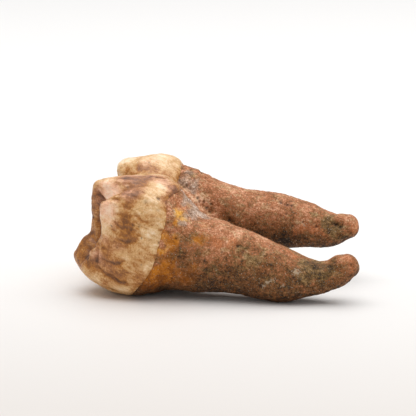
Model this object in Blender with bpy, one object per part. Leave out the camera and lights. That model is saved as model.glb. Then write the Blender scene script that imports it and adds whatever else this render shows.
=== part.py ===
"""A fossil cave bear molar, a two-rooted lower cheek tooth lying on its tongue side.

The tooth is one grown piece, so it is one object. +X runs from the crown towards the root tips, +Y from the
near root to the far one, and +Z up from the surface that it lies on. Lengths are in millimetres until the
skin is made.
"""

import bpy
import bmesh
import numpy as np
from mathutils import Vector

MM = 0.001

# Driving dimensions of the crown, in its own axes: s along the jaw, w from tongue to cheek, h up to the
# cusps. The leans say what share of its half width each wall has lost at the height of the cusps.
CROWN_CENTRE = np.array([-9.8, 0.0, 8.2])
CROWN_LEAN_DEG = 22.0
CROWN_LENGTH = 29.0
CROWN_WIDTH = 21.0
CROWN_WIDTH_CENTRE = 0.6
OUTLINE_POWER = 3.8
WAIST_PLACE = 0.8
TONGUE_WAIST = 0.14
TONGUE_WAIST_REACH = 3.0
CHEEK_WAIST = 0.20
CHEEK_WAIST_REACH = 4.5
CHEEK_WAIST_POWER = 2.4
FAR_LOBE_WIDENING = 0.03
FAR_LOBE_LEAN = 0.195
FAR_LOBE_START = 3.0
FAR_LOBE_BLEND = 2.0
NECK_PINCH = 0.9
CHEEK_PINCH = 0.6
WAIST_PINCH = 0.9
WAIST_PINCH_PLACE = -1.5
WAIST_PINCH_REACH = 5.0
WAIST_PINCH_POWER = 4.0
BULGE_HEIGHT = 4.0
WALL_ROUNDING = 7.0
LEAN_POWER = 1.5
END_LEAN = 0.17
CHEEK_LEAN = 0.37
TONGUE_LEAN = 0.02
BASIN_HEIGHT = 6.6

# Cusps and ridges on the chewing surface: s, w, extra height, reach along s, reach along w.
CUSPS = (
    (-6.8, -7.0, 4.5, 3.4, 3.3),
    (-6.4, 4.7, 5.1, 3.8, 3.8),
    (-6.4, 1.7, 0.5, 2.6, 1.8),
    (6.6, 5.4, 4.8, 4.0, 3.6),
    (4.4, -6.8, 3.6, 2.8, 2.6),
    (9.6, -5.8, 2.8, 2.4, 2.4),
    (11.4, 0.8, 2.1, 2.0, 2.8),
    (-0.8, -7.2, 2.2, 1.8, 2.0),
    (-6.2, -1.0, 2.9, 2.2, 3.0),
    (6.0, -0.6, 1.8, 1.9, 2.8),
    (-11.5, 3.0, 3.0, 1.5, 3.6),
    (-11.5, -3.4, 1.9, 1.5, 2.6),
    (-6.6, -4.2, 0.8, 2.2, 1.4),
    (-11.8, -7.8, 2.6, 2.2, 2.0),
    (-9.2, -1.6, -1.8, 1.0, 4.6),
    (-9.4, 5.6, -1.3, 0.9, 2.4),
    (8.6, 0.4, -1.2, 1.2, 4.0),
)

# The neck line, where the enamel ends: its height, its slant from tongue to cheek, its rise on the cheek
# side and along the far lobe, and its dip towards the roots on the two end faces. On the near end face it
# also rises cheekward and sags in the middle. The enamel's lip turns in under itself.
NECK_HEIGHT = -0.3
NECK_SLANT = 0.5
NECK_TILT = 0.32
NECK_DIP = 1.0
NECK_CHEEK_RISE = 0.7
NECK_FACE_RISE = 0.3
NECK_FACE_SAG = 0.75
NECK_SAG_PLACE = -0.3
NECK_SAG_WIDTH = 0.35
# Smaller bends of the neck line: degrees round the outline from the far end, reach in degrees, rise.
NECK_BENDS = (
    (138.0, 9.0, 0.75),
    (120.0, 8.0, -0.5),
    (88.0, 12.0, 0.6),
)
LIP_DEPTH = 0.4
LIP_INSET = 0.7

# The roots as stations from inside the crown to the tip: x, y, z, half depth along y, half height along z.
NEAR_ROOT = (
    (-14.0, -6.6, 8.4, 5.8, 6.8),
    (-11.0, -6.8, 8.3, 6.3, 7.6),
    (-6.8, -7.2, 7.9, 5.9, 7.2),
    (-4.5, -7.5, 7.25, 5.3, 6.35),
    (-1.4, -7.8, 6.75, 4.7, 5.75),
    (1.3, -7.95, 6.35, 4.4, 5.35),
    (4.0, -8.1, 5.85, 4.2, 4.9),
    (7.2, -8.25, 4.95, 4.1, 4.5),
    (10.2, -8.3, 4.2, 3.9, 4.13),
    (13.2, -8.3, 3.9, 3.4, 3.2),
    (16.3, -8.2, 4.0, 2.7, 2.4),
    (18.2, -8.1, 4.7, 2.3, 2.15),
    (19.3, -8.0, 5.5, 2.3, 2.15),
    (20.2, -7.9, 6.0, 2.0, 1.8),
)
FAR_ROOT = (
    (-14.0, 7.0, 8.8, 5.8, 6.8),
    (-11.0, 7.2, 9.2, 6.3, 7.8),
    (-7.1, 7.4, 9.4, 6.1, 8.0),
    (-4.2, 7.8, 9.2, 5.4, 6.7),
    (1.5, 8.0, 8.9, 4.7, 5.3),
    (6.3, 7.9, 9.1, 4.3, 4.6),
    (11.1, 7.8, 8.8, 3.7, 3.7),
    (14.3, 7.6, 8.3, 3.1, 3.0),
    (16.4, 7.4, 8.3, 2.6, 2.5),
    (17.6, 7.3, 8.6, 2.4, 2.2),
    (18.6, 7.3, 8.8, 2.0, 1.9),
)
# The trunk joins the two roots below the crown and ends at the fork.
TRUNK = (
    (-13.0, 0.2, 8.4, 8.0, 6.2),
    (-9.0, 0.2, 7.7, 8.6, 7.0),
    (-7.0, 0.2, 7.1, 8.2, 6.5),
    (-5.0, 0.1, 6.9, 7.8, 5.7),
    (-3.6, 0.0, 7.1, 7.0, 4.7),
)
ROOT_ROUNDING = 2.2
TRUNK_ROUNDING = 4.0
ROOT_TIP_REACH = 1.7
FORK_REACH = 1.6
RING_POINTS = 48
RINGS_PER_SPAN = 5
TIP_RINGS = 7
TIP_BLUNTNESS = 0.02

# Crown grid: columns round the outline, rows from the neck lip over the rim to the middle.
CROWN_COLUMNS = 128
CROWN_ROWS = 44

# Hollows and pits in the surface: centre x, y, z, radius, depth.
PITS = (
    (15.2, 4.2, 10.0, 1.5, 0.55),
    (17.0, 4.8, 9.2, 1.6, 0.65),
    (-2.8, 3.9, 11.6, 1.4, 0.60),
    (-1.2, 3.8, 10.4, 1.1, 0.45),
    (-5.2, -6.8, 14.6, 1.2, 0.35),
    (2.0, -12.0, 6.0, 1.3, 0.25),
    (-13.2, -13.6, 9.0, 1.6, 0.20),
)
# Low swellings of the roots: height, and the wave numbers along x, y and z of each of their waves.
SWELL_HEIGHT = 0.06
SWELLS = (
    (0.55, 0.50, 0.35, 0.4),
    (-0.90, 0.35, 0.75, 1.9),
    (0.30, -0.85, 1.10, 3.1),
    (1.35, 0.60, -0.55, 5.0),
)
SWELL_START = 2.5

# The skin: grain of the joined solid, rounds of smoothing, flat facets left, and how far the three bulges
# that the tooth rests on are worn flat.
JOIN_VOXEL = 0.35
SMOOTHING_ROUNDS = 5
TRIANGLES = 9200
REST_CUT = 0.2


def superellipse(turn, power):
    """Points of a rounded square with half sides of 1: a circle at power 2, and squarer above it.

    Each point lies in the direction of its turn, as far out as the sum of its powers allows.
    """
    reach = (np.abs(np.cos(turn)) ** power + np.abs(np.sin(turn)) ** power) ** (-1 / power)
    return reach * np.cos(turn), reach * np.sin(turn)


def spline(stations, per_span):
    """A smooth curve through the stations: a cubic between each two, with slopes from their neighbours."""
    knots = np.array(stations, float)
    gaps = np.linalg.norm(np.diff(knots[:, :3], axis=0), axis=1)
    at = np.concatenate([[0.0], np.cumsum(gaps)])
    slopes = np.gradient(knots, at, axis=0)
    rows = []
    for i, gap in enumerate(gaps):
        last = i == len(gaps) - 1
        t = np.linspace(0.0, 1.0, per_span + 1)[: None if last else -1, None]
        start = (1 + 2 * t) * (1 - t) ** 2 * knots[i] + t * (1 - t) ** 2 * gap * slopes[i]
        end = t * t * (3 - 2 * t) * knots[i + 1] + t * t * (t - 1) * gap * slopes[i + 1]
        rows.append(start + end)
    return np.concatenate(rows)


def domed_ends(rows, rings, reach):
    """Rounds off both ends of a run of sections: each end grows on by the reach and shrinks to a point."""
    angle = np.linspace(0.0, np.pi / 2, rings + 1)[1:, None]

    def dome(end, inner):
        way = end[:3] - inner[:3]
        way = way / np.linalg.norm(way)
        centre = end[:3] + way * reach * np.sin(angle)
        return np.hstack([centre, end[3:] * np.maximum(np.cos(angle), TIP_BLUNTNESS)])

    return np.concatenate([dome(rows[0], rows[1])[::-1], rows, dome(rows[-1], rows[-2])])


def swept(stations, power, reach):
    """Rings of a closed solid: a superellipse, turned square to the path, is carried along it."""
    rows = domed_ends(spline(stations, RINGS_PER_SPAN), TIP_RINGS, reach)
    centre, half = rows[:, :3], rows[:, 3:]
    along = np.gradient(centre, axis=0)
    along /= np.linalg.norm(along, axis=1)[:, None]
    side = np.cross(along, [0.0, 0.0, 1.0])
    side /= np.linalg.norm(side, axis=1)[:, None]
    rise = np.cross(side, along)
    flat, tall = superellipse(np.linspace(0.0, 2 * np.pi, RING_POINTS, endpoint=False), power)
    sideways = side[:, None] * (half[:, :1] * flat)[..., None]
    upwards = rise[:, None] * (half[:, 1:] * tall)[..., None]
    return centre[:, None] + sideways + upwards


def near(value, place, reach, power=2.0):
    """1 at the place, and less and less on both sides of it."""
    return np.exp(-(np.abs((value - place) / reach) ** power))


def cusp_height(s, w):
    """Height of the chewing surface above the neck: the basin, and a rounded hill for each cusp and ridge."""
    height = np.full(np.shape(s), BASIN_HEIGHT)
    for s0, w0, rise, reach_s, reach_w in CUSPS:
        height = height + rise * near(s, s0, reach_s) * near(w, w0, reach_w)
    return height


def crown_axes():
    """The three directions of the crown: along the jaw, towards the cheek, and up out of the gum."""
    lean = np.radians(CROWN_LEAN_DEG)
    along_jaw = np.array([0.0, 1.0, 0.0])
    cheekward = np.array([np.sin(lean), 0.0, np.cos(lean)])
    up_tooth = np.array([-np.cos(lean), 0.0, np.sin(lean)])
    return along_jaw, cheekward, up_tooth


def crown_rings():
    """The enamel cap as rings from its lip at the neck, up the wall, over the rim and in to the middle.

    Round the tooth runs a superellipse with a waist on its long sides. Up the wall and over the top runs a
    second one, whose height at each place is the height of the cusps there, and which leans in on its way up.
    """
    turn = np.linspace(0.0, 2 * np.pi, CROWN_COLUMNS, endpoint=False)
    s_unit, w_unit = superellipse(turn, OUTLINE_POWER)
    s_rim = CROWN_LENGTH / 2 * s_unit
    cheek_waist = CHEEK_WAIST * near(s_rim, WAIST_PLACE, CHEEK_WAIST_REACH, CHEEK_WAIST_POWER)
    tongue_waist = TONGUE_WAIST * near(s_rim, WAIST_PLACE, TONGUE_WAIST_REACH)
    w_rim = CROWN_WIDTH / 2 * w_unit * (1 - np.where(w_unit > 0, cheek_waist, tongue_waist))
    far_lobe = 0.5 + 0.5 * np.tanh((s_rim - FAR_LOBE_START) / FAR_LOBE_BLEND)
    w_rim = w_rim * (1 + FAR_LOBE_WIDENING * far_lobe * (w_unit > 0))
    cheek = np.clip(w_unit, 0.0, 1.0) ** 2
    tongue = np.clip(-w_unit, 0.0, 1.0) ** 2
    cheek_lean = CHEEK_LEAN + (FAR_LOBE_LEAN - CHEEK_LEAN) * far_lobe
    lean_in = END_LEAN + (cheek_lean - END_LEAN) * cheek + (TONGUE_LEAN - END_LEAN) * tongue
    neck = NECK_HEIGHT - NECK_SLANT * w_unit - NECK_DIP * np.abs(s_unit) ** 3
    neck = neck + (NECK_CHEEK_RISE + NECK_TILT * np.clip(s_rim, 0.0, None)) * cheek
    near_end = np.clip(-s_unit, 0.0, 1.0) ** 2
    sag = NECK_FACE_SAG * near(w_unit, NECK_SAG_PLACE, NECK_SAG_WIDTH)
    neck = neck + near_end * (NECK_FACE_RISE * np.clip(w_unit, 0.0, 1.0) - sag)
    neck = neck + sum(rise * near(np.degrees(turn), place, reach) for place, reach, rise in NECK_BENDS)

    inward, upward = superellipse(np.linspace(0.0, np.pi / 2, CROWN_ROWS)[:, None], WALL_ROUNDING)
    inward = inward * (1 - lean_in * upward**LEAN_POWER)
    s = s_rim * inward
    w = CROWN_WIDTH_CENTRE + w_rim * inward
    h = neck + upward * (cusp_height(s, w) - neck)
    waist_pinch = WAIST_PINCH * near(s_rim, WAIST_PINCH_PLACE, WAIST_PINCH_REACH, WAIST_PINCH_POWER)
    most_pinch = NECK_PINCH + cheek * (CHEEK_PINCH + waist_pinch)
    pinch = most_pinch * np.clip(1 - (h - neck) / BULGE_HEIGHT, 0.0, 1.0) ** 2
    s = s - pinch * s_unit
    w = w - pinch * w_unit
    s = np.concatenate([s[:1] * LIP_INSET, s])
    w = np.concatenate([w[:1] * LIP_INSET, w])
    h = np.concatenate([h[:1] + LIP_DEPTH, h])

    along_jaw, cheekward, up_tooth = crown_axes()
    return CROWN_CENTRE + s[..., None] * along_jaw + w[..., None] * cheekward + h[..., None] * up_tooth


def add_rings(shape, rings):
    """Adds one closed skin to the bmesh: its rings are bridged face by face, and its two ends are closed."""
    loops = [[shape.verts.new(Vector(p * MM)) for p in ring] for ring in rings]
    for lower, upper in zip(loops, loops[1:]):
        for i, corner in enumerate(lower):
            j = (i + 1) % len(lower)
            shape.faces.new((corner, lower[j], upper[j], upper[i]))
    shape.faces.new(loops[0][::-1])
    shape.faces.new(loops[-1])


def fossil_material():
    """Stained, slightly glossy dentine and enamel, in their mean colour."""
    material = bpy.data.materials.new("stained_fossil_tooth")
    material.use_nodes = True
    shader = material.node_tree.nodes["Principled BSDF"]
    shader.inputs["Base Color"].default_value = (0.36, 0.19, 0.10, 1.0)
    shader.inputs["Roughness"].default_value = 0.5
    shader.inputs["Metallic"].default_value = 0.0
    return material


def clear_scene():
    for old in list(bpy.data.objects):
        bpy.data.objects.remove(old, do_unlink=True)


def weather(mesh):
    """Moves the skin along its normals: low waves in the roots, starting below the neck, and the pits."""
    count = len(mesh.vertices)
    place = np.empty(count * 3)
    normal = np.empty(count * 3)
    mesh.vertices.foreach_get("co", place)
    mesh.vertices.foreach_get("normal", normal)
    place = place.reshape(-1, 3) / MM
    normal = normal.reshape(-1, 3)

    below_neck = -(place - CROWN_CENTRE) @ crown_axes()[2]
    weight = np.clip((below_neck - SWELL_START) / SWELL_START, 0.0, 1.0)
    waves = sum(np.sin(place @ np.array(wave[:3]) + wave[3]) for wave in SWELLS)
    shift = SWELL_HEIGHT * weight * waves / 2
    for x, y, z, radius, depth in PITS:
        away = np.linalg.norm(place - np.array([x, y, z]), axis=1) / radius
        shift = shift - depth * np.exp(-(away**2))
    mesh.vertices.foreach_set("co", ((place + shift[:, None] * normal) * MM).ravel())
    mesh.update()


def wear_flat(mesh):
    """Sets the three bulges that the tooth rests on flat, and centres the mesh over the origin."""
    shape = bmesh.new()
    shape.from_mesh(mesh)
    lowest = min(v.co.z for v in shape.verts)
    level = Vector((0.0, 0.0, lowest + REST_CUT * MM))
    everything = shape.verts[:] + shape.edges[:] + shape.faces[:]
    down = Vector((0.0, 0.0, -1.0))
    bmesh.ops.bisect_plane(shape, geom=everything, plane_co=level, plane_no=down, clear_outer=True)
    bmesh.ops.edgeloop_fill(shape, edges=[e for e in shape.edges if e.is_boundary])
    bmesh.ops.triangulate(shape, faces=shape.faces)
    bmesh.ops.recalc_face_normals(shape, faces=shape.faces)
    for axis in (0, 1):
        middle = 0.5 * (min(v.co[axis] for v in shape.verts) + max(v.co[axis] for v in shape.verts))
        for v in shape.verts:
            v.co[axis] -= middle
    for v in shape.verts:
        v.co.z = max(v.co.z - level.z, 0.0)
    shape.to_mesh(mesh)
    shape.free()


def evaluated_mesh(thing):
    """The mesh that the object's modifiers make."""
    bpy.context.view_layer.update()
    return bpy.data.meshes.new_from_object(thing.evaluated_get(bpy.context.evaluated_depsgraph_get()))


def build_tooth():
    """Joins crown, roots and trunk into one skin, rounds the joins, and thins it out to flat facets."""
    parts = bmesh.new()
    add_rings(parts, crown_rings())
    add_rings(parts, swept(NEAR_ROOT, ROOT_ROUNDING, ROOT_TIP_REACH))
    add_rings(parts, swept(FAR_ROOT, ROOT_ROUNDING, ROOT_TIP_REACH))
    add_rings(parts, swept(TRUNK, TRUNK_ROUNDING, FORK_REACH))
    bmesh.ops.recalc_face_normals(parts, faces=parts.faces)
    mesh = bpy.data.meshes.new("tooth")
    parts.to_mesh(mesh)
    parts.free()
    tooth = bpy.data.objects.new("tooth", mesh)
    bpy.context.scene.collection.objects.link(tooth)
    mesh.materials.append(fossil_material())

    join = tooth.modifiers.new("one_skin", "REMESH")
    join.mode = "VOXEL"
    join.voxel_size = JOIN_VOXEL * MM
    join.use_smooth_shade = True
    soften = tooth.modifiers.new("soft_joins", "SMOOTH")
    soften.factor = 0.5
    soften.iterations = SMOOTHING_ROUNDS
    joined = evaluated_mesh(tooth)
    weather(joined)
    tooth.modifiers.clear()
    tooth.data = joined

    thin = tooth.modifiers.new("thin_out", "DECIMATE")
    thin.ratio = TRIANGLES / sum(len(face.vertices) - 2 for face in joined.polygons)
    faceted = evaluated_mesh(tooth)
    tooth.modifiers.clear()
    wear_flat(faceted)
    tooth.data = faceted


def main():
    clear_scene()
    build_tooth()


main()
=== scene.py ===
# %% [markdown]
# A fossil cave bear tooth: a two-rooted lower cheek tooth that lies on its tongue side, with its chewing
# surface to the left and its root tips to the right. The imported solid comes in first. It fixes where the
# tooth is and how large, and all that is made below keeps to its box, within a sixth of a millimetre.

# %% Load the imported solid
import itertools

import bpy
import numpy as np
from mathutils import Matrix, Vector


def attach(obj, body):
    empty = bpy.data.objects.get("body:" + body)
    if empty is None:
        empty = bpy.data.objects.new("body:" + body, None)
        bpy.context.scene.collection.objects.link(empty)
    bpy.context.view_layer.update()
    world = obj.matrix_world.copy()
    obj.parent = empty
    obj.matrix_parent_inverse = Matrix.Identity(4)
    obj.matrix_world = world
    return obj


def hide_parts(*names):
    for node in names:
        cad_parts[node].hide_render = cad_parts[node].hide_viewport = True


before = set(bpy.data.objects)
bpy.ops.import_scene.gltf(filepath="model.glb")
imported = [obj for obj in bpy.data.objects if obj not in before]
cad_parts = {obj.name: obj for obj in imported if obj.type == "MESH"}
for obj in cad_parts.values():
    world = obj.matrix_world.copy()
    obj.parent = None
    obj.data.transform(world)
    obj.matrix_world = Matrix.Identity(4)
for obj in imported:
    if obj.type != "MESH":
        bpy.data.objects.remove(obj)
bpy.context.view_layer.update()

MM = 0.001

# %% [markdown]
# The camera stands at the photograph's angle: ten degrees round to the right of the near face and eleven
# degrees above the table, far enough away that the lens is a long one. It comes before the shapes, because
# every judgement of them is made through it. Colours are shown as plain values, with no film curve.

# %% Camera
scene = bpy.context.scene
scene.view_settings.view_transform = "Standard"
AZIMUTH, ELEVATION = np.radians(10.0), np.radians(11.0)
DISTANCE = 0.330
FOCAL_LENGTH, SENSOR_WIDTH, NEAREST_SEEN = 184.2, 36.0, 0.01
LOOK_AT = Vector((-0.0023, 0.0, 0.01226))
level_reach = np.cos(ELEVATION)
to_camera = Vector((np.sin(AZIMUTH) * level_reach, -np.cos(AZIMUTH) * level_reach, np.sin(ELEVATION)))
lens = bpy.data.cameras.new("photo_camera")
lens.lens = FOCAL_LENGTH
lens.sensor_width = SENSOR_WIDTH
lens.clip_start = NEAREST_SEEN
camera = bpy.data.objects.new("photo_camera", lens)
camera.location = LOOK_AT + to_camera * DISTANCE
camera.rotation_euler = (-to_camera).to_track_quat("-Z", "Y").to_euler()
scene.collection.objects.link(camera)
scene.camera = camera
print("camera at", [round(c, 4) for c in camera.location])

# %% [markdown]
# Nothing on a tooth is straight. Every wall, root and stain wanders a little, so the first tool is smooth
# randomness: a fixed random number at each corner of a grid of cells, eased from corner to corner. It is
# worked out for all points at once, and gives the same hills each time because the numbers come from the
# corners' own places and not from a clock. Stretched cells give wrinkles, and folded hills give creases.

# %% Smooth randomness
CREASE_MIDDLE = 0.7


def corner_number(cells, seed):
    """A fixed number from -1 to 1 for each cell corner: its place multiplied, folded and cut to 32 bits."""
    mixed = (cells @ np.array([374761393, 668265263, 2147483629]) + seed * 1274126177) & 0xFFFFFFFF
    mixed = ((mixed ^ (mixed >> 13)) * 1103515245) & 0xFFFFFFFF
    mixed = ((mixed ^ (mixed >> 16)) * 668265263) & 0xFFFFFFFF
    return (mixed ^ (mixed >> 15)) / 2.0**31 - 1


def hills(points, seed=0):
    """Smooth hills from -1 to 1: a mix of the eight corners round a point, eased by 3t^2 - 2t^3."""
    cell = np.floor(points)
    t = points - cell
    t = t * t * (3 - 2 * t)
    cell = cell.astype(np.int64)
    total = np.zeros(len(points))
    for corner in itertools.product((0, 1), repeat=3):
        share = np.prod(np.where(np.array(corner) == 1, t, 1 - t), axis=1)
        total += share * corner_number(cell + np.array(corner), seed)
    return total


def layers(points, size, count=3, seed=0):
    """Hills on hills: each of the layers is half as wide and half as high as the one before."""
    total = sum(hills(points / np.array(size) * 2.0**k, seed + 7 * k) * 0.5**k for k in range(count))
    return total / (2 - 0.5 ** (count - 1))


def creases(points, size, count=2, seed=0):
    """Rounded swellings with sharp valleys between them: layers of 2 x |hills| - 0.7, each half the last."""
    total = np.zeros(len(points))
    for k in range(count):
        folded = 2 * np.abs(hills(points / np.array(size) * 2.0**k, seed + 7 * k)) - CREASE_MIDDLE
        total += folded * 0.5**k
    return total / (2 - 0.5 ** (count - 1))


def wander(points, size, amount, seed=0):
    """The points, each moved by hills of its own in x, y and z, so that what follows them runs unevenly."""
    return points + amount * np.stack([hills(points / size, seed + k) for k in range(3)], axis=1)


def step(value, low, high):
    """0 below low, 1 above high, and eased by 3t^2 - 2t^3 between them."""
    t = np.clip((value - low) / (high - low), 0.0, 1.0)
    return t * t * (3 - 2 * t)


def spot(points, x, y, z, radius):
    """One soft round spot: exp(-(distance / radius)^2)."""
    away = np.linalg.norm(points - np.array([x, y, z]), axis=1) / radius
    return np.exp(-(away**2))


def spots(points, places):
    """The strongest of several soft spots at each point: the most of amount x spot."""
    strongest = np.zeros(len(points))
    for x, y, z, radius, amount in places:
        strongest = np.maximum(strongest, amount * spot(points, x, y, z, radius))
    return strongest


def along_line(points, path, radius):
    """1 on a line through the path's points, falling off as exp(-(distance / radius)^2) to its sides."""
    path = np.array(path, float)
    nearest = np.full(len(points), np.inf)
    for a, b in zip(path, path[1:]):
        t = np.clip((points - a) @ (b - a) / ((b - a) @ (b - a)), 0.0, 1.0)
        nearest = np.minimum(nearest, np.linalg.norm(points - a - t[:, None] * (b - a), axis=1))
    return np.exp(-((nearest / radius) ** 2))


# %% [markdown]
# On the real tooth the enamel is a cap about a millimetre thick. Here it is one closed form, because its
# inside is never seen. It could be sculpted from a box, but a formula keeps it the same shape as the packed
# solid: a rounded rectangle runs round the tooth, with a waist on its long sides, and a second one runs up
# the wall and in over the top. The top's height is a basin with a round hill for each cusp, whose five
# numbers are its place along the jaw and cheekward, its rise, and its reach both ways. The grid is fine
# enough, about a seventh of a millimetre, to carry real wrinkles.

# %% The enamel cap's form
CROWN_CENTRE = np.array([-9.8, 0.0, 8.2])
CROWN_LEAN = np.radians(22.0)
ALONG_JAW = np.array([0.0, 1.0, 0.0])
CHEEKWARD = np.array([np.sin(CROWN_LEAN), 0.0, np.cos(CROWN_LEAN)])
UP_TOOTH = np.array([-np.cos(CROWN_LEAN), 0.0, np.sin(CROWN_LEAN)])
CROWN_LENGTH, CROWN_WIDTH, CROWN_WIDTH_CENTRE = 29.0, 21.0, 0.6
OUTLINE_POWER, WALL_ROUNDING, LEAN_POWER = 3.8, 7.0, 1.5
WAIST_PLACE, TONGUE_WAIST, TONGUE_WAIST_REACH = 0.8, 0.14, 3.0
CHEEK_WAIST, CHEEK_WAIST_REACH, CHEEK_WAIST_POWER = 0.20, 4.5, 2.4
FAR_LOBE_WIDENING, FAR_LOBE_LEAN, FAR_LOBE_START, FAR_LOBE_BLEND = 0.03, 0.195, 3.0, 2.0
END_LEAN, CHEEK_LEAN, TONGUE_LEAN = 0.17, 0.37, 0.02
NECK_HEIGHT, NECK_SLANT, NECK_DIP, NECK_TILT = -0.3, 0.5, 1.0, 0.32
NECK_CHEEK_RISE, NECK_FACE_RISE, NECK_FACE_SAG, NECK_SAG_PLACE, NECK_SAG_WIDTH = 0.7, 0.3, 0.75, -0.3, 0.35
NECK_BENDS = ((138.0, 9.0, 0.75), (120.0, 8.0, -0.5), (88.0, 12.0, 0.6))
NECK_PINCH, CHEEK_PINCH, BULGE_HEIGHT = 0.9, 0.6, 4.0
WAIST_PINCH, WAIST_PINCH_PLACE, WAIST_PINCH_REACH, WAIST_PINCH_POWER = 0.9, -1.5, 5.0, 4.0
BASIN_HEIGHT = 6.6
CUSPS = (
    (-6.8, -7.0, 4.5, 3.4, 3.3),
    (-6.4, 4.7, 5.1, 3.8, 3.8),
    (-6.4, 1.7, 0.5, 2.6, 1.8),
    (6.6, 5.4, 4.8, 4.0, 3.6),
    (4.4, -6.8, 3.6, 2.8, 2.6),
    (9.6, -5.8, 2.8, 2.4, 2.4),
    (11.4, 0.8, 2.1, 2.0, 2.8),
    (-0.8, -7.2, 2.2, 1.8, 2.0),
    (-6.2, -1.0, 2.9, 2.2, 3.0),
    (6.0, -0.6, 1.8, 1.9, 2.8),
    (-11.5, 3.0, 3.0, 1.5, 3.6),
    (-11.5, -3.4, 1.9, 1.5, 2.6),
    (-6.6, -4.2, 0.8, 2.2, 1.4),
    (-11.8, -7.8, 2.6, 2.2, 2.0),
    (-9.2, -1.6, -1.8, 1.0, 4.6),
    (-9.4, 5.6, -1.3, 0.9, 2.4),
    (8.6, 0.4, -1.2, 1.2, 4.0),
)
CROWN_COLUMNS, CROWN_ROWS, TOP_OPENING = 580, 150, 0.012


def superellipse(turn, power):
    """A rounded square's points: in the direction of each turn, as far out as (|cos|^p + |sin|^p)^(-1/p)."""
    reach = (np.abs(np.cos(turn)) ** power + np.abs(np.sin(turn)) ** power) ** (-1 / power)
    return reach * np.cos(turn), reach * np.sin(turn)


def near(value, place, reach, power=2.0):
    """1 at the place, less and less on both sides: exp(-|(value - place) / reach|^power)."""
    return np.exp(-(np.abs((value - place) / reach) ** power))


def cusp_height(s, w):
    """The chewing surface's height: the basin, plus rise x exp(-(ds/reach)^2 - (dw/reach)^2) per cusp."""
    height = np.full(np.shape(s), BASIN_HEIGHT)
    for s0, w0, rise, reach_s, reach_w in CUSPS:
        height = height + rise * np.exp(-(((s - s0) / reach_s) ** 2) - ((w - w0) / reach_w) ** 2)
    return height


def crown_grid():
    """Rows from the enamel's lip up the wall and in over the top, in mm along the jaw, cheekward and up.

    Row turn a, column turn b: along = length/2 x cos-like(b) x cos-like(a), cheekward the same with
    sin-like(b), and up = neck + sin-like(a) x (cusp height - neck), where both likes are those of a
    superellipse. The wall leans in by a share of its half width as it rises, and pinches in at the neck.
    """
    turn = np.linspace(0.0, 2 * np.pi, CROWN_COLUMNS, endpoint=False)
    s_unit, w_unit = superellipse(turn, OUTLINE_POWER)
    s_rim = CROWN_LENGTH / 2 * s_unit
    cheek_waist = CHEEK_WAIST * near(s_rim, WAIST_PLACE, CHEEK_WAIST_REACH, CHEEK_WAIST_POWER)
    tongue_waist = TONGUE_WAIST * near(s_rim, WAIST_PLACE, TONGUE_WAIST_REACH)
    w_rim = CROWN_WIDTH / 2 * w_unit * (1 - np.where(w_unit > 0, cheek_waist, tongue_waist))
    far_lobe = 0.5 + 0.5 * np.tanh((s_rim - FAR_LOBE_START) / FAR_LOBE_BLEND)
    w_rim = w_rim * (1 + FAR_LOBE_WIDENING * far_lobe * (w_unit > 0))
    cheek, tongue = np.clip(w_unit, 0.0, 1.0) ** 2, np.clip(-w_unit, 0.0, 1.0) ** 2
    cheek_lean = CHEEK_LEAN + (FAR_LOBE_LEAN - CHEEK_LEAN) * far_lobe
    lean_in = END_LEAN + (cheek_lean - END_LEAN) * cheek + (TONGUE_LEAN - END_LEAN) * tongue
    neck = NECK_HEIGHT - NECK_SLANT * w_unit - NECK_DIP * np.abs(s_unit) ** 3
    neck = neck + (NECK_CHEEK_RISE + NECK_TILT * np.clip(s_rim, 0.0, None)) * cheek
    near_end = np.clip(-s_unit, 0.0, 1.0) ** 2
    sag = NECK_FACE_SAG * near(w_unit, NECK_SAG_PLACE, NECK_SAG_WIDTH)
    neck = neck + near_end * (NECK_FACE_RISE * np.clip(w_unit, 0.0, 1.0) - sag)
    neck = neck + sum(rise * near(np.degrees(turn), place, reach) for place, reach, rise in NECK_BENDS)
    climb = np.linspace(0.0, np.pi / 2 - TOP_OPENING, CROWN_ROWS)[:, None]
    inward, upward = superellipse(climb, WALL_ROUNDING)
    inward = inward * (1 - lean_in * upward**LEAN_POWER)
    s, w = s_rim * inward, CROWN_WIDTH_CENTRE + w_rim * inward
    h = neck + upward * (cusp_height(s, w) - neck)
    waist_pinch = WAIST_PINCH * near(s_rim, WAIST_PINCH_PLACE, WAIST_PINCH_REACH, WAIST_PINCH_POWER)
    most_pinch = NECK_PINCH + cheek * (CHEEK_PINCH + waist_pinch)
    pinch = most_pinch * np.clip(1 - (h - neck) / BULGE_HEIGHT, 0.0, 1.0) ** 2
    return np.stack([s - pinch * s_unit, w - pinch * w_unit, h], axis=-1), h - neck


def to_tooth(swh):
    """Crown directions (along jaw, cheekward, up) turned into the tooth's x, y and z, in mm."""
    return CROWN_CENTRE + swh[..., :1] * ALONG_JAW + swh[..., 1:2] * CHEEKWARD + swh[..., 2:] * UP_TOOTH


def grid_normals(grid):
    """Outward unit normals of a grid closed along its columns: upward slope crossed with round slope."""
    round_slope = np.roll(grid, -1, axis=1) - np.roll(grid, 1, axis=1)
    up_slope = np.gradient(grid, axis=0)
    normal = np.cross(up_slope, round_slope)
    length = np.linalg.norm(normal, axis=2, keepdims=True)
    return normal / np.maximum(length, 1e-9)


crown_swh, above_neck = crown_grid()
crown_form = to_tooth(crown_swh)
print("crown grid", crown_form.shape)
print("crown in mm from", crown_form.min((0, 1)).round(2), "to", crown_form.max((0, 1)).round(2))

# %% [markdown]
# The roots are two tapering tubes that grow out of a short trunk, bend a little and end bluntly. Each is a
# profile carried along a path: a slightly squared ellipse, set square to a smooth curve through a few
# stations. A station's five numbers are its place, and half the root's depth and height there.

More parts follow.
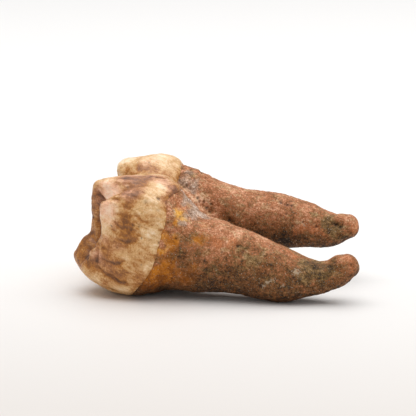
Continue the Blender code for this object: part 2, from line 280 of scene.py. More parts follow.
# %% The roots' form
NEAR_ROOT = (
    (-14.0, -6.6, 8.4, 5.8, 6.8),
    (-11.0, -6.8, 8.3, 6.3, 7.6),
    (-6.8, -7.2, 7.9, 5.9, 7.2),
    (-4.5, -7.5, 7.25, 5.3, 6.35),
    (-1.4, -7.8, 6.75, 4.7, 5.75),
    (1.3, -7.95, 6.35, 4.4, 5.35),
    (4.0, -8.1, 5.85, 4.2, 4.9),
    (7.2, -8.25, 4.95, 4.1, 4.5),
    (10.2, -8.3, 4.2, 3.9, 4.13),
    (13.2, -8.3, 3.9, 3.4, 3.2),
    (16.3, -8.2, 4.0, 2.7, 2.4),
    (18.2, -8.1, 4.7, 2.3, 2.15),
    (19.3, -8.0, 5.5, 2.3, 2.15),
    (20.2, -7.9, 6.0, 2.0, 1.8),
)
FAR_ROOT = (
    (-14.0, 7.0, 8.8, 5.8, 6.8),
    (-11.0, 7.2, 9.2, 6.3, 7.8),
    (-7.1, 7.4, 9.4, 6.1, 8.0),
    (-4.2, 7.8, 9.2, 5.4, 6.7),
    (1.5, 8.0, 8.9, 4.7, 5.3),
    (6.3, 7.9, 9.1, 4.3, 4.6),
    (11.1, 7.8, 8.8, 3.7, 3.7),
    (14.3, 7.6, 8.3, 3.1, 3.0),
    (16.4, 7.4, 8.3, 2.6, 2.5),
    (17.6, 7.3, 8.6, 2.4, 2.2),
    (18.6, 7.3, 8.8, 2.0, 1.9),
)
TRUNK = (
    (-13.0, 0.2, 8.4, 8.0, 6.2),
    (-9.0, 0.2, 7.7, 8.6, 7.0),
    (-7.0, 0.2, 7.1, 8.2, 6.5),
    (-5.0, 0.1, 6.9, 7.8, 5.7),
    (-3.6, 0.0, 7.1, 7.0, 4.7),
)
ROOT_ROUNDING, TRUNK_ROUNDING = 2.2, 4.0
ROOT_TIP_REACH, FORK_REACH = 1.5, 1.6
RING_POINTS, RINGS_PER_SPAN, TIP_RINGS, TIP_BLUNTNESS = 72, 8, 10, 0.02


def spline(stations, per_span):
    """A smooth curve through the stations: a cubic between each two, with slopes from their neighbours."""
    knots = np.array(stations, float)
    gaps = np.linalg.norm(np.diff(knots[:, :3], axis=0), axis=1)
    slopes = np.gradient(knots, np.concatenate([[0.0], np.cumsum(gaps)]), axis=0)
    t = np.linspace(0.0, 1.0, per_span, endpoint=False)[None, :, None]
    gap = gaps[:, None, None]
    start = (1 + 2 * t) * (1 - t) ** 2 * knots[:-1, None] + t * (1 - t) ** 2 * gap * slopes[:-1, None]
    end = t * t * (3 - 2 * t) * knots[1:, None] + t * t * (t - 1) * gap * slopes[1:, None]
    return np.concatenate([(start + end).reshape(-1, knots.shape[1]), knots[-1:]])


def domed_ends(rows, rings, reach):
    """Rounds off both ends: the centre goes on by reach x sin(a) while the section shrinks by cos(a)."""
    angle = np.linspace(0.0, np.pi / 2, rings + 1)[1:, None]

    def dome(end, inner):
        """One end's rings, from the last station outwards."""
        way = (end[:3] - inner[:3]) / np.linalg.norm(end[:3] - inner[:3])
        shrinking = np.maximum(np.cos(angle), TIP_BLUNTNESS)
        return np.hstack([end[:3] + way * reach * np.sin(angle), end[3:] * shrinking])

    return np.concatenate([dome(rows[0], rows[1])[::-1], rows, dome(rows[-1], rows[-2])])


def swept(stations, power, reach):
    """A tube: centre(t) + half depth(t) x cos-like(b) sideways + half height(t) x sin-like(b) upwards."""
    rows = domed_ends(spline(stations, RINGS_PER_SPAN), TIP_RINGS, reach)
    centre, half = rows[:, :3], rows[:, 3:]
    forward = np.gradient(centre, axis=0)
    forward /= np.linalg.norm(forward, axis=1)[:, None]
    side = np.cross(forward, [0.0, 0.0, 1.0])
    side /= np.linalg.norm(side, axis=1)[:, None]
    rise = np.cross(side, forward)
    flat, tall = superellipse(np.linspace(0.0, 2 * np.pi, RING_POINTS, endpoint=False), power)
    sideways = side[:, None] * (half[:, :1] * flat)[..., None]
    return centre[:, None] + sideways + rise[:, None] * (half[:, 1:] * tall)[..., None]


root_tubes = [
    swept(NEAR_ROOT, ROOT_ROUNDING, ROOT_TIP_REACH),
    swept(FAR_ROOT, ROOT_ROUNDING, ROOT_TIP_REACH),
    swept(TRUNK, TRUNK_ROUNDING, FORK_REACH),
]
print("root tubes", [tube.shape for tube in root_tubes])

# %% [markdown]
# A grid of points becomes a mesh by joining each point with its neighbours to the right and above, and by
# closing each of its two ends with a fan to the last ring's middle, so that no wide face is left. The pieces
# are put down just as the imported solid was: centred over the origin, with the three bulges that the tooth
# lies on worn flat by a fifth of a millimetre.

# %% From grids to meshes, and down onto the table
REST_CUT = 0.2
whole = np.concatenate([crown_form.reshape(-1, 3)] + [tube.reshape(-1, 3) for tube in root_tubes])
SETTLE = np.append(-(whole.min(0) + whole.max(0))[:2] / 2, -whole[:, 2].min() - REST_CUT)
print("pieces move by", SETTLE.round(3), "mm")


def skin(grids):
    """Points and faces of closed skins: quads between neighbours, and a fan of triangles at either end."""
    points, quads, fans, start = [], [], [], 0
    for grid in grids:
        rows, columns = grid.shape[:2]
        index = start + np.arange(rows * columns).reshape(rows, columns)
        beside = np.roll(index, -1, axis=1)
        quads.append(np.stack([index[:-1], beside[:-1], beside[1:], index[1:]], axis=-1).reshape(-1, 4))
        low, high = start + rows * columns, start + rows * columns + 1
        fans.append(np.stack([beside[0], index[0], np.full(columns, low)], axis=-1))
        fans.append(np.stack([index[-1], beside[-1], np.full(columns, high)], axis=-1))
        points += [grid.reshape(-1, 3), grid[0].mean(0)[None], grid[-1].mean(0)[None]]
        start += rows * columns + 2
    return np.concatenate(points), np.concatenate(quads), np.concatenate(fans)


def make_mesh(name, points, quads, fans):
    """A mesh from points in mm and faces of four and of three corners, smooth shaded."""
    corners = np.concatenate([quads.ravel(), fans.ravel()])
    sizes = np.concatenate([np.full(len(quads), 4), np.full(len(fans), 3)])
    mesh = bpy.data.meshes.new(name)
    mesh.vertices.add(len(points))
    mesh.vertices.foreach_set("co", (points * MM).ravel())
    mesh.loops.add(len(corners))
    mesh.loops.foreach_set("vertex_index", corners.astype(np.int32))
    mesh.polygons.add(len(sizes))
    mesh.polygons.foreach_set("loop_start", np.concatenate([[0], np.cumsum(sizes)[:-1]]).astype(np.int32))
    mesh.polygons.foreach_set("loop_total", sizes.astype(np.int32))
    mesh.polygons.foreach_set("use_smooth", np.ones(len(sizes), bool))
    mesh.update(calc_edges=True)
    mesh.validate()
    return mesh


def mesh_points(mesh, what="co"):
    """A mesh's vertex places in mm, or its vertex normals."""
    values = np.empty(len(mesh.vertices) * 3)
    mesh.vertices.foreach_get(what, values)
    return values.reshape(-1, 3) / (MM if what == "co" else 1.0)


def set_points(mesh, points):
    """Puts points in mm back into the mesh."""
    mesh.vertices.foreach_set("co", (points * MM).ravel())
    mesh.update()


def paint(mesh, name, amount):
    """Stores a number from 0 to 1 at each vertex, which a material reads by its name."""
    layer = mesh.attributes.new(name, "FLOAT", "POINT")
    layer.data.foreach_set("value", np.clip(amount, 0.0, 1.0).astype(np.float32))


def settle(points):
    """Moves points as the solid was moved, and wears what is below the table level flat."""
    moved = points + SETTLE
    moved[:, 2] = np.maximum(moved[:, 2], 0.0)
    return moved


def triangles(mesh):
    """How many triangles a mesh comes to: the corners of each face less two, added up."""
    return sum(len(face.vertices) - 2 for face in mesh.polygons)


# %% [markdown]
# Cave bear enamel isn't smooth. Fine wrinkles run from the rim down the walls, the chewing surface is
# crumpled into many small knobs, and tiny pits are scattered over it. The near lobe's folds, rolled rims and
# knob are placed one by one, as lines through a few points with a radius and a height or depth. All of it is
# added along the normals of the form. The same numbers are kept for the colour: painted shade where it dips,
# and a painted highlight on the crests.

# %% Places of the enamel's folds, rims and pits
CROWN_PITS = (
    (-7.7, -12.3, 15.9, 0.34, 0.20), (-7.6, -12.9, 14.2, 0.30, 0.16), (-9.9, -11.8, 15.9, 0.22, 0.15),
    (-9.4, -12.5, 15.2, 0.36, 0.14), (-7.1, -10.6, 17.0, 0.24, 0.16), (-7.4, -13.4, 12.2, 0.20, 0.12),
    (-8.8, -13.7, 9.8, 0.20, 0.12), (-7.4, -13.5, 9.4, 0.22, 0.12), (-13.9, -13.2, 8.3, 0.22, 0.14),
    (-18.8, -7.0, 11.5, 0.22, 0.16), (-10.0, -13.9, 6.0, 0.16, 0.12), (-12.3, -13.4, 2.6, 0.20, 0.14),
    (-13.0, -9.2, 16.9, 0.30, 0.12), (-11.3, -6.2, 18.0, 0.20, 0.14), (-11.4, -13.6, 11.9, 0.22, 0.12),
)
CROWN_SLITS = (
    (((-17.8, -7.9, 15.7), (-17.4, -8.3, 14.9), (-16.8, -9.0, 14.4), (-15.9, -10.8, 15.0),
      (-15.0, -11.3, 15.2), (-14.0, -11.6, 15.4)), 0.42, 0.36),
    (((-17.4, -8.3, 14.9), (-17.5, -8.2, 13.6), (-17.6, -8.0, 12.3), (-17.6, -7.9, 11.1),
      (-17.6, -8.2, 9.9), (-17.4, -9.4, 8.9)), 0.55, 0.36),
    (((-17.4, -9.4, 8.9), (-17.2, -11.6, 8.3), (-17.2, -12.0, 7.0), (-17.4, -12.2, 6.0)), 0.40, 0.34),
    (((-17.3, -12.3, 5.2), (-16.6, -12.6, 4.7), (-15.8, -12.9, 4.1), (-15.0, -13.1, 3.9),
      (-14.2, -13.3, 3.5), (-13.3, -13.3, 2.9), (-12.2, -13.2, 2.6)), 0.36, 0.26),
    (((-16.3, -12.6, 6.5), (-15.3, -13.0, 6.0), (-14.0, -13.4, 6.0), (-12.7, -13.7, 6.3)), 0.26, 0.16),
    (((-14.2, -12.6, 11.9), (-13.2, -13.0, 11.3), (-12.0, -13.4, 11.5), (-11.0, -13.5, 11.1)), 0.24, 0.12),
    (((-14.6, -12.2, 13.2), (-13.4, -12.6, 13.4), (-12.0, -12.9, 13.0), (-10.4, -13.2, 13.3)), 0.24, 0.14),
    (((-13.6, -12.2, 14.4), (-12.2, -12.4, 14.0), (-10.8, -12.9, 14.2)), 0.18, 0.12),
    (((-13.8, -13.1, 9.6), (-12.4, -13.5, 9.2), (-10.9, -13.8, 9.5)), 0.22, 0.12),
    (((-10.4, -6.6, 18.2), (-9.2, -6.6, 18.2), (-8.0, -6.9, 18.0)), 0.26, 0.50),
    (((-14.6, -8.4, 17.2), (-12.6, -8.6, 17.3), (-10.4, -8.2, 17.6), (-9.0, -8.6, 17.5)), 0.22, 0.12),
    (((-15.0, -7.4, 17.7), (-12.4, -7.5, 17.7), (-10.0, -7.6, 17.8)), 0.18, 0.10),
    (((-18.8, -11.0, 6.2), (-18.5, -11.2, 7.2), (-17.9, -11.3, 8.1)), 0.30, 0.36),
    (((-19.2, -8.4, 7.0), (-19.0, -8.6, 6.2), (-19.3, -9.0, 5.4)), 0.45, 0.40),
)
CROWN_CRESTS = (
    (((-17.6, 3.2, 17.6), (-17.4, 5.0, 18.0), (-17.0, 6.6, 17.8)), 1.4, 0.36),
    (((-17.6, -7.4, 16.8), (-16.8, -7.8, 17.2), (-15.9, -7.6, 17.6)), 1.0, 0.26),
    (((-18.2, -6.7, 16.2), (-18.7, -6.7, 14.6), (-18.9, -6.7, 12.6)), 1.0, 0.34),
    (((-16.3, -11.5, 14.3), (-16.3, -11.7, 13.1), (-16.3, -11.7, 11.9), (-16.3, -11.6, 10.6),
      (-16.2, -12.0, 9.5), (-16.2, -12.3, 8.3), (-16.4, -12.5, 7.1)), 0.70, 0.28),
    (((-16.3, -11.5, 14.3), (-15.4, -11.4, 15.0), (-14.3, -11.7, 15.1)), 0.55, 0.20),
    (((-18.7, -7.3, 11.4), (-18.3, -7.6, 10.1), (-18.1, -8.0, 8.7)), 0.26, 0.30),
    (((-19.3, -7.9, 8.0), (-19.0, -8.1, 7.5)), 0.50, 0.40),
    (((-18.3, -11.3, 6.4), (-18.0, -11.5, 7.2), (-17.4, -11.8, 7.9)), 0.32, 0.34),
    (((-19.0, -11.4, 3.9), (-17.8, -11.9, 3.6), (-16.6, -12.2, 3.2), (-15.2, -12.4, 2.7)), 0.75, 0.16),
)
RANDOM_CROWN_PITS, PIT_STEEPNESS = 80, 0.5
print(len(CROWN_PITS), "pits,", len(CROWN_SLITS), "folds and grooves,", len(CROWN_CRESTS), "crests")

# %% [markdown]
# The wrinkles are noise in stretched cells, long up the tooth and narrow round it. Noise in plain cells, seen
# as its distance from zero, gives the chewing surface's knobs. A pit is a soft round dent, and its middle
# is kept as a dark spot: a black speck with painted shade in the hole. At the enamel's edge all of this fades,
# and the edge itself is wavy and rolled.

# %% Relief of the enamel
LIP_DEPTH, LIP_INSET = 0.45, 0.80
EDGE_WAVE, EDGE_WAVE_SIZE, EDGE_REACH = 0.14, 0.9, 0.7
EDGE_ROLL, ROLL_PLACE, ROLL_REACH = 0.06, 0.55, 0.45
WRINKLE_SIZE, FINE_SIZE, GROWTH_RING_SIZE = (0.55, 0.55, 2.6), (0.24, 0.24, 1.1), (3.0, 3.0, 0.5)
WRINKLE_HEIGHT, FINE_HEIGHT, GROWTH_RING_HEIGHT = 0.12, 0.03, 0.03
KNOB_SIZE, NEAR_KNOB_HEIGHT, FAR_KNOB_EXTRA = 1.7, 0.17, 0.20
SWELL_SIZE, SWELL_HEIGHT = 2.4, 0.12
FULL_FOLD, DARK_SHARE = 0.2, 1.2


def pitted(points, pits, full_depth=None):
    """Depth and darkness of round pits: depth x exp(-d^2) added up, and the most of exp(-(1.2 d)^2).

    Here d is the distance from a pit's middle over its radius. A pit shallower than full_depth is paler.
    """
    sunk, dark = np.zeros(len(points)), np.zeros(len(points))
    for x, y, z, radius, depth in pits:
        away = np.linalg.norm(points - np.array([x, y, z]), axis=1) / radius
        sunk += depth * np.exp(-(away**2))
        strength = min(1.0, depth / full_depth) if full_depth else 1.0
        # The darkness at a pit's middle is a black speck with painted shade in the hole; a shallow pit gets
        # less of it.
        dark = np.maximum(dark, strength * np.exp(-((DARK_SHARE * away) ** 2)))
    return sunk, dark


def crown_relief(points, swh, above, normals, rng):
    """Height along the normals in mm, and how much hollow, fold, crest and dark pit there is, 0 to 1.

    On the walls the height is wrinkles + fine wrinkles + growth rings, on the chewing surface it is knobs.
    Slow swells and crest lines are added everywhere, slit lines and pits are taken away, and all of it
    fades out at the enamel's edge.
    """
    wall = 1 - step(np.abs(normals @ UP_TOOTH), 0.45, 0.8)
    crooked = wander(wander(swh, 2.4, 0.7, seed=3), 0.8, 0.16, seed=5)
    wrinkles = layers(crooked, WRINKLE_SIZE, 3, seed=11)
    fine = layers(crooked, FINE_SIZE, 2, seed=19)
    growth_rings = layers(crooked, GROWTH_RING_SIZE, 2, seed=27)
    knobs = creases(wander(swh, 1.5, 0.35, seed=31), KNOB_SIZE, 3, seed=37)
    knob_height = NEAR_KNOB_HEIGHT + FAR_KNOB_EXTRA * step(points[:, 1], -6.0, -2.0)
    lift = wall * (WRINKLE_HEIGHT * wrinkles + FINE_HEIGHT * fine + GROWTH_RING_HEIGHT * growth_rings)
    lift += (1 - wall) * knob_height * knobs + SWELL_HEIGHT * layers(swh, SWELL_SIZE, 2, seed=41)
    hollow = wall * step(-wrinkles - 0.5 * fine, 0.05, 0.65) + (1 - wall) * step(-knobs, 0.0, 0.5)
    crest = wall * step(wrinkles, 0.15, 0.6) + (1 - wall) * step(knobs, 0.1, 0.6)
    unsteady = wander(points, 0.9, 0.2, seed=43)
    for path, radius, height in CROWN_CRESTS:
        line = along_line(unsteady, path, radius)
        lift += height * line
        crest = np.maximum(crest, line)
    fold = np.zeros(len(points))
    for path, radius, depth in CROWN_SLITS:
        line = along_line(unsteady, path, radius)
        lift -= depth * line
        fold = np.maximum(fold, line * min(1.0, depth / FULL_FOLD))
    chosen = rng.choice(len(points), RANDOM_CROWN_PITS, replace=False)
    radii = rng.uniform(0.08, 0.20, RANDOM_CROWN_PITS)
    random_pits = np.column_stack([points[chosen], radii, radii * PIT_STEEPNESS])
    uneven = wander(points, 0.3, 0.10, seed=47)
    sunk, dark = pitted(uneven, np.concatenate([np.array(CROWN_PITS), random_pits]))
    lift -= sunk
    return lift * step(above, -0.2, 0.5), np.maximum(hollow, fold), fold, crest, dark


crown_place = crown_form.reshape(-1, 3) + SETTLE
flat_swh, flat_above = crown_swh.reshape(-1, 3), above_neck.ravel()
crown_facing = grid_normals(crown_form).reshape(-1, 3)
crown_lift, crown_hollow, crown_fold, crown_crest, crown_pit_specks_and_shade = crown_relief(
    crown_place, flat_swh, flat_above, crown_facing, np.random.default_rng(5)
)
edge_places = np.column_stack([flat_swh[:CROWN_COLUMNS, :2], np.zeros(CROWN_COLUMNS)])
edge_wave = EDGE_WAVE * layers(edge_places, EDGE_WAVE_SIZE, 3, seed=51)
edge_fade = np.exp(-((above_neck / EDGE_REACH) ** 2))
crown_fine = crown_form + (crown_lift[:, None] * crown_facing).reshape(crown_form.shape)
crown_fine += (edge_fade * edge_wave)[..., None] * UP_TOOTH
edge_roll = EDGE_ROLL * np.exp(-(((above_neck - ROLL_PLACE) / ROLL_REACH) ** 2))
crown_fine += edge_roll[..., None] * grid_normals(crown_form)
lip_swh = crown_swh[:1] * np.array([LIP_INSET, LIP_INSET, 1.0]) + np.array([0.0, 0.0, LIP_DEPTH])
crown_all = np.concatenate([to_tooth(lip_swh), crown_fine])
print("enamel relief from", crown_lift.min().round(3), "to", crown_lift.max().round(3), "mm")

# %% [markdown]
# The crown's own directions, along the jaw, cheekward and up, are a left-handed set. A grid that runs round
# and up in them faces inwards, so its faces are turned over here. The grid stops just short of the
# top's middle and a small fan closes it there, so that no face is pinched to nothing.

# %% The enamel cap's mesh
crown_points, crown_quads, crown_fans = skin([crown_all])
crown_quads, crown_fans = crown_quads[:, ::-1], crown_fans[:, ::-1]
enamel_mesh = make_mesh("enamel_cap", settle(crown_points), crown_quads, crown_fans)
enamel = bpy.data.objects.new("enamel_cap", enamel_mesh)
scene.collection.objects.link(enamel)


def to_crown_vertices(values):
    """Values on the crown's form, with one more row for the lip and the two closing middles at the end."""
    rows = values.reshape(CROWN_ROWS, CROWN_COLUMNS)
    return np.concatenate([rows[0], rows.ravel(), [rows[0].mean(), rows[-1].mean()]])


print("enamel cap", triangles(enamel.data), "triangles")

# %% [markdown]
# The two roots and the trunk are three closed tubes that pass through each other. A voxel remesh makes one
# skin of them, as clay is pressed together, and a little smoothing rounds the joins. It could be done with
# booleans, but those leave sharp seams that a grown thing doesn't have. The fine skin is then carved with
# numpy: slow swellings, faint lengthwise fibres, grain, a rough crust beside the crown, rubble in the fork,
# and pits.

# %% One skin for the roots
ROOT_VOXEL = 0.188
SMOOTHING_ROUNDS, SMOOTHING_FACTOR = 6, 0.5
root_points, root_quads, root_fans = skin(root_tubes)
rough = bpy.data.objects.new("root_tubes", make_mesh("root_tubes", root_points, root_quads, root_fans))
scene.collection.objects.link(rough)
join = rough.modifiers.new("one_skin", "REMESH")
join.mode = "VOXEL"
join.voxel_size = ROOT_VOXEL * MM
join.use_smooth_shade = True
soften = rough.modifiers.new("soft_joins", "SMOOTH")
soften.factor = SMOOTHING_FACTOR
soften.iterations = SMOOTHING_ROUNDS
bpy.context.view_layer.update()
root_mesh = bpy.data.meshes.new_from_object(rough.evaluated_get(bpy.context.evaluated_depsgraph_get()))
bpy.data.objects.remove(rough)
root_mesh.name = "roots"
print("roots", triangles(root_mesh), "triangles")

# %% [markdown]
# On a real tooth the root meets the enamel's edge without a ledge. So the skin is drawn outwards to just
# inside that edge, fading over two millimetres, and kept inside the enamel above it. Further up, where it
# is never seen, it is drawn in more, so that the enamel's folds can't meet it. It is done in the crown's
# own directions: each point's way round tells how far out and how high the edge is there.

# %% Flush with the enamel's edge
NECK_GAP, FLARE_REACH, INSIDE_SHARE, CORE_SHARE = 0.10, 1.7, 0.93, 0.62
OUTER_FROM, OUTER_TO = 0.55, 0.75
INSIDE_FROM, INSIDE_TO, CORE_FROM, CORE_TO = 0.10, 0.60, 0.5, 2.6


def to_crown(points):
    """Places in the tooth's mm turned into crown directions: along the jaw, cheekward, up."""
    return (points - CROWN_CENTRE) @ np.stack([ALONG_JAW, CHEEKWARD, UP_TOOTH], axis=1)


def way_round(s, w):
    """The angle round the crown, with its length and width made equal first."""
    return np.arctan2((w - CROWN_WIDTH_CENTRE) / CROWN_WIDTH, s / CROWN_LENGTH)


def flared(points):
    """Draws the skin out to the enamel's edge below it, and in above it.

    Out: reach + (edge - gap - reach) x exp(-(depth below the edge / flare reach)^2), for outer points only.
    In: at most the inside share of the edge's reach, and further up times the core share.
    """
    s, w, h = to_crown(points).T
    edge = crown_swh[0]
    edge_turn = way_round(edge[:, 0], edge[:, 1])
    order = np.argsort(edge_turn)
    edge_reach = np.hypot(edge[:, 0], edge[:, 1] - CROWN_WIDTH_CENTRE)
    turn = way_round(s, w)
    reach = np.hypot(s, w - CROWN_WIDTH_CENTRE)
    to_edge = np.interp(turn, edge_turn[order], edge_reach[order], period=2 * np.pi)
    depth = np.interp(turn, edge_turn[order], edge[order, 2], period=2 * np.pi) - h
    outer = step(reach / to_edge, OUTER_FROM, OUTER_TO)
    fade = np.exp(-((np.clip(depth, 0.0, None) / FLARE_REACH) ** 2))
    out = reach + outer * fade * np.clip(to_edge - NECK_GAP - reach, 0.0, None)
    inside = step(-depth, INSIDE_FROM, INSIDE_TO)
    out = out + inside * (np.minimum(out, INSIDE_SHARE * to_edge) - out)
    out = out * (1 - (1 - CORE_SHARE) * step(-depth, CORE_FROM, CORE_TO))
    growth = out / np.maximum(reach, 1e-6) - 1
    along_jaw = (growth * s)[:, None] * ALONG_JAW
    return points + along_jaw + (growth * (w - CROWN_WIDTH_CENTRE))[:, None] * CHEEKWARD


flush = flared(mesh_points(root_mesh))
moved_most = np.linalg.norm(flush - mesh_points(root_mesh), axis=1).max()
set_points(root_mesh, flush)
print("the skin moves by at most", moved_most.round(2), "mm, deep inside the enamel")

# %% [markdown]
# Where things are on the roots is kept as named places in millimetres, with a radius and a depth or an
# amount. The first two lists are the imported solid's own dents and swells, where a swell is a wave with its
# steepness in x, y and z and its start. Then come the grey crust beside the crown, single pits, and a cluster
# of small craters in the fork. They are soft spots whose outline wanders, so that none looks like a dot.

# %% Places on the roots
SOLID_PITS = (
    (15.2, 4.2, 10.0, 1.5, 0.55), (17.0, 4.8, 9.2, 1.6, 0.65), (-2.8, 3.9, 11.6, 1.4, 0.60),
    (-1.2, 3.8, 10.4, 1.1, 0.45), (-5.2, -6.8, 14.6, 1.2, 0.35), (2.0, -12.0, 6.0, 1.3, 0.25),
)
SWELLS = (
    (0.55, 0.50, 0.35, 0.4), (-0.90, 0.35, 0.75, 1.9), (0.30, -0.85, 1.10, 3.1), (1.35, 0.60, -0.55, 5.0),
)
CRUST_PLACES = (
    (-5.0, -6.0, 15.9, 1.3, 1.0), (-4.4, -6.3, 15.2, 1.3, 1.0), (-3.9, -6.4, 14.5, 1.3, 1.0),
    (-3.2, -6.8, 13.7, 1.2, 1.0), (-2.5, -7.6, 13.1, 1.2, 1.0), (-1.6, -8.2, 12.8, 1.1, 1.0),
    (-2.9, -9.4, 13.2, 1.1, 0.8), (-4.6, -8.0, 14.6, 1.0, 0.7), (-5.6, -3.6, 15.0, 1.4, 0.8),
    (-5.8, -11.2, 13.9, 0.8, 0.6), (-4.2, -11.8, 12.3, 0.9, 0.6), (-3.4, -10.6, 13.2, 0.9, 0.6),
    (-6.4, 3.6, 15.6, 1.2, 0.6), (-5.4, 3.4, 14.8, 1.2, 0.6), (-6.2, 5.4, 16.6, 1.0, 0.5),
)
ROOT_PITS = (
    (-4.9, -12.6, 10.0, 0.28, 0.34), (-3.2, -12.2, 10.8, 0.32, 0.30), (-5.7, -11.7, 3.6, 0.28, 0.34),
    (8.3, 5.5, 12.5, 0.36, 0.20), (9.3, 5.4, 12.2, 0.42, 0.22), (10.0, 5.3, 12.0, 0.26, 0.16),
    (7.5, 5.9, 12.9, 0.22, 0.16), (0.6, 3.3, 9.8, 0.34, 0.30), (10.3, 4.0, 9.1, 0.30, 0.28),
    (14.1, 4.7, 8.9, 0.28, 0.28), (17.0, 5.7, 9.3, 0.45, 0.45), (17.8, 5.5, 8.9, 0.40, 0.30),
    (3.2, -10.6, 9.9, 0.24, 0.14), (4.3, -11.3, 8.7, 0.36, 0.20), (5.1, -11.6, 8.0, 0.34, 0.18),
    (7.2, -10.9, 8.3, 0.26, 0.20), (7.7, -10.0, 8.7, 0.22, 0.18), (-0.6, -12.4, 6.5, 0.34, 0.16),
    (14.6, -9.5, 6.4, 0.30, 0.18), (15.6, -10.2, 5.7, 0.24, 0.18), (14.3, -10.9, 5.5, 0.24, 0.16),
    (17.9, -9.8, 6.0, 0.32, 0.20), (18.8, -9.7, 6.6, 0.24, 0.16), (13.7, -11.6, 4.4, 0.22, 0.16),
    (11.6, -12.0, 3.0, 0.24, 0.18), (0.1, -10.4, 11.6, 0.24, 0.14), (2.0, -12.1, 8.0, 0.18, 0.14),
    (-6.3, -12.4, 12.4, 0.30, 0.12), (-6.0, -12.8, 11.0, 0.34, 0.14), (-5.2, -12.6, 8.6, 0.24, 0.14),
)
CRATERS = (
    (-3.4, 3.2, 12.6, 0.24, 0.30), (-4.2, 2.7, 12.8, 0.26, 0.34), (-3.0, 3.1, 11.6, 0.28, 0.36),
    (-3.7, 2.9, 12.1, 0.20, 0.26), (-4.4, 2.6, 13.3, 0.22, 0.26), (-2.6, 3.3, 11.1, 0.26, 0.34),
    (-2.4, 3.6, 12.2, 0.20, 0.26), (-3.9, 2.8, 11.3, 0.22, 0.30), (-4.8, 2.4, 12.4, 0.20, 0.24),
    (-3.0, 3.3, 13.1, 0.18, 0.22), (-1.8, 3.6, 12.9, 0.18, 0.20), (-2.0, 3.5, 11.6, 0.18, 0.22),
)
RANDOM_ROOT_PITS = 420
print(len(ROOT_PITS), "pits,", len(CRATERS), "craters and", len(CRUST_PLACES), "places of crust")

# %% [markdown]
# The skin gets the solid's dents and swells first, and then all that is too fine for the solid: lumps, grain
# and fibres everywhere, matted creases where the crust is, and rubble in the fork. The same numbers are kept
# for the stains.

# %% Relief of the roots
SOLID_SWELL = 0.06
LUMP_SIZE, GRAIN_SIZE, RUBBLE_SIZE = 1.5, 0.50, 1.3
FIBRE_SIZE, MAT_SIZE = (3.2, 0.42, 0.42), (1.0, 0.45, 0.45)
LUMP_HEIGHT, GRAIN_HEIGHT, FIBRE_HEIGHT, MAT_HEIGHT, RUBBLE_HEIGHT = 0.06, 0.09, 0.04, 0.22, 0.18
FULL_PIT = 0.16

root_facing = mesh_points(root_mesh, "normal")
root_base = mesh_points(root_mesh)
below_neck = -(root_base - CROWN_CENTRE) @ UP_TOOTH
waves = sum(np.sin(root_base @ np.array(w[:3]) + w[3]) for w in SWELLS) / 2
lift = SOLID_SWELL * step(below_neck, 2.5, 5.0) * waves
for x, y, z, radius, depth in SOLID_PITS:
    lift -= depth * spot(root_base, x, y, z, radius)
root_base = root_base + lift[:, None] * root_facing

root_place = root_base + SETTLE
root_uneven = wander(wander(root_place, 1.6, 0.7, seed=61), 0.5, 0.25, seed=64)
crust = spots(root_uneven, CRUST_PLACES)
fibres = layers(wander(root_place, 2.5, 0.6, seed=67), FIBRE_SIZE, 3, seed=71)
lumps = layers(root_place, LUMP_SIZE, 2, seed=73)
grain = layers(root_place, GRAIN_SIZE, 3, seed=79)
matted = creases(wander(root_place, 1.2, 0.5, seed=83), MAT_SIZE, 3, seed=89)
bumps = creases(wander(root_place, 0.9, 0.3, seed=91), RUBBLE_SIZE, 2, seed=93)
rubble = step(root_place[:, 0], -1.0, -4.0) * step(root_place[:, 1], -4.0, 1.0)
relief = LUMP_HEIGHT * lumps + GRAIN_HEIGHT * grain + FIBRE_HEIGHT * fibres
relief += crust * MAT_HEIGHT * matted + rubble * RUBBLE_HEIGHT * bumps
rng = np.random.default_rng(11)
chosen = rng.choice(len(root_place), RANDOM_ROOT_PITS, replace=False)
radii = rng.uniform(0.08, 0.24, RANDOM_ROOT_PITS)
depths = radii * rng.uniform(0.3, 0.8, RANDOM_ROOT_PITS)
random_pits = np.column_stack([root_place[chosen], radii, depths])
ragged = wander(root_place, 0.35, 0.14, seed=97)
all_pits = np.concatenate([np.array(ROOT_PITS), np.array(CRATERS), random_pits])
sunk, root_pit_specks_and_shade = pitted(ragged, all_pits, FULL_PIT)
relief -= sunk
set_points(root_mesh, settle(root_base + relief[:, None] * root_facing))
print("root relief from", relief.min().round(3), "to", relief.max().round(3), "mm")
roots = bpy.data.objects.new("roots", root_mesh)
scene.collection.objects.link(roots)

# %% [markdown]
# Stains are painted as numbers from 0 to 1 at the vertices, and the materials turn them into colour. One
# number is the darkness of the whole skin, which carries painted light and shade as well as stains. The others
# say where its hue changes: crust, amber beside the enamel, olive, rust and specks of chalk. The last holds
# the pits, black specks with painted shade in the holes. Each place below has a radius and a strength.

# %% Places of the roots' stains
AMBER_PLACES = (
    (-9.1, -11.6, 2.7, 1.5, 1.0), (-8.1, -12.3, 4.0, 1.5, 1.0), (-6.8, -12.5, 5.3, 1.4, 1.0),
    (-5.6, -12.6, 6.0, 1.2, 0.8), (-6.3, -11.8, 3.6, 1.4, 0.9), (-4.4, -12.2, 4.7, 1.2, 0.7),
    (-7.6, -11.5, 2.9, 1.3, 0.9), (-6.6, -12.9, 10.5, 1.2, 0.8), (-5.8, -12.8, 9.4, 1.2, 0.85),
    (-4.9, -11.1, 13.7, 1.1, 0.8), (-4.0, -11.2, 13.1, 1.0, 0.7), (-1.6, -12.1, 9.7, 1.1, 0.5),
    (-2.4, -12.3, 5.4, 1.4, 0.5), (-5.2, -11.9, 12.0, 1.0, 0.7), (-8.6, -12.0, 3.2, 2.0, 1.0),
    (-7.2, -12.6, 4.6, 2.0, 1.0), (-6.0, -12.7, 6.2, 1.6, 0.9), (-7.0, -12.8, 8.2, 1.0, 0.8),
    (-3.6, -11.9, 3.8, 1.6, 0.6),
)
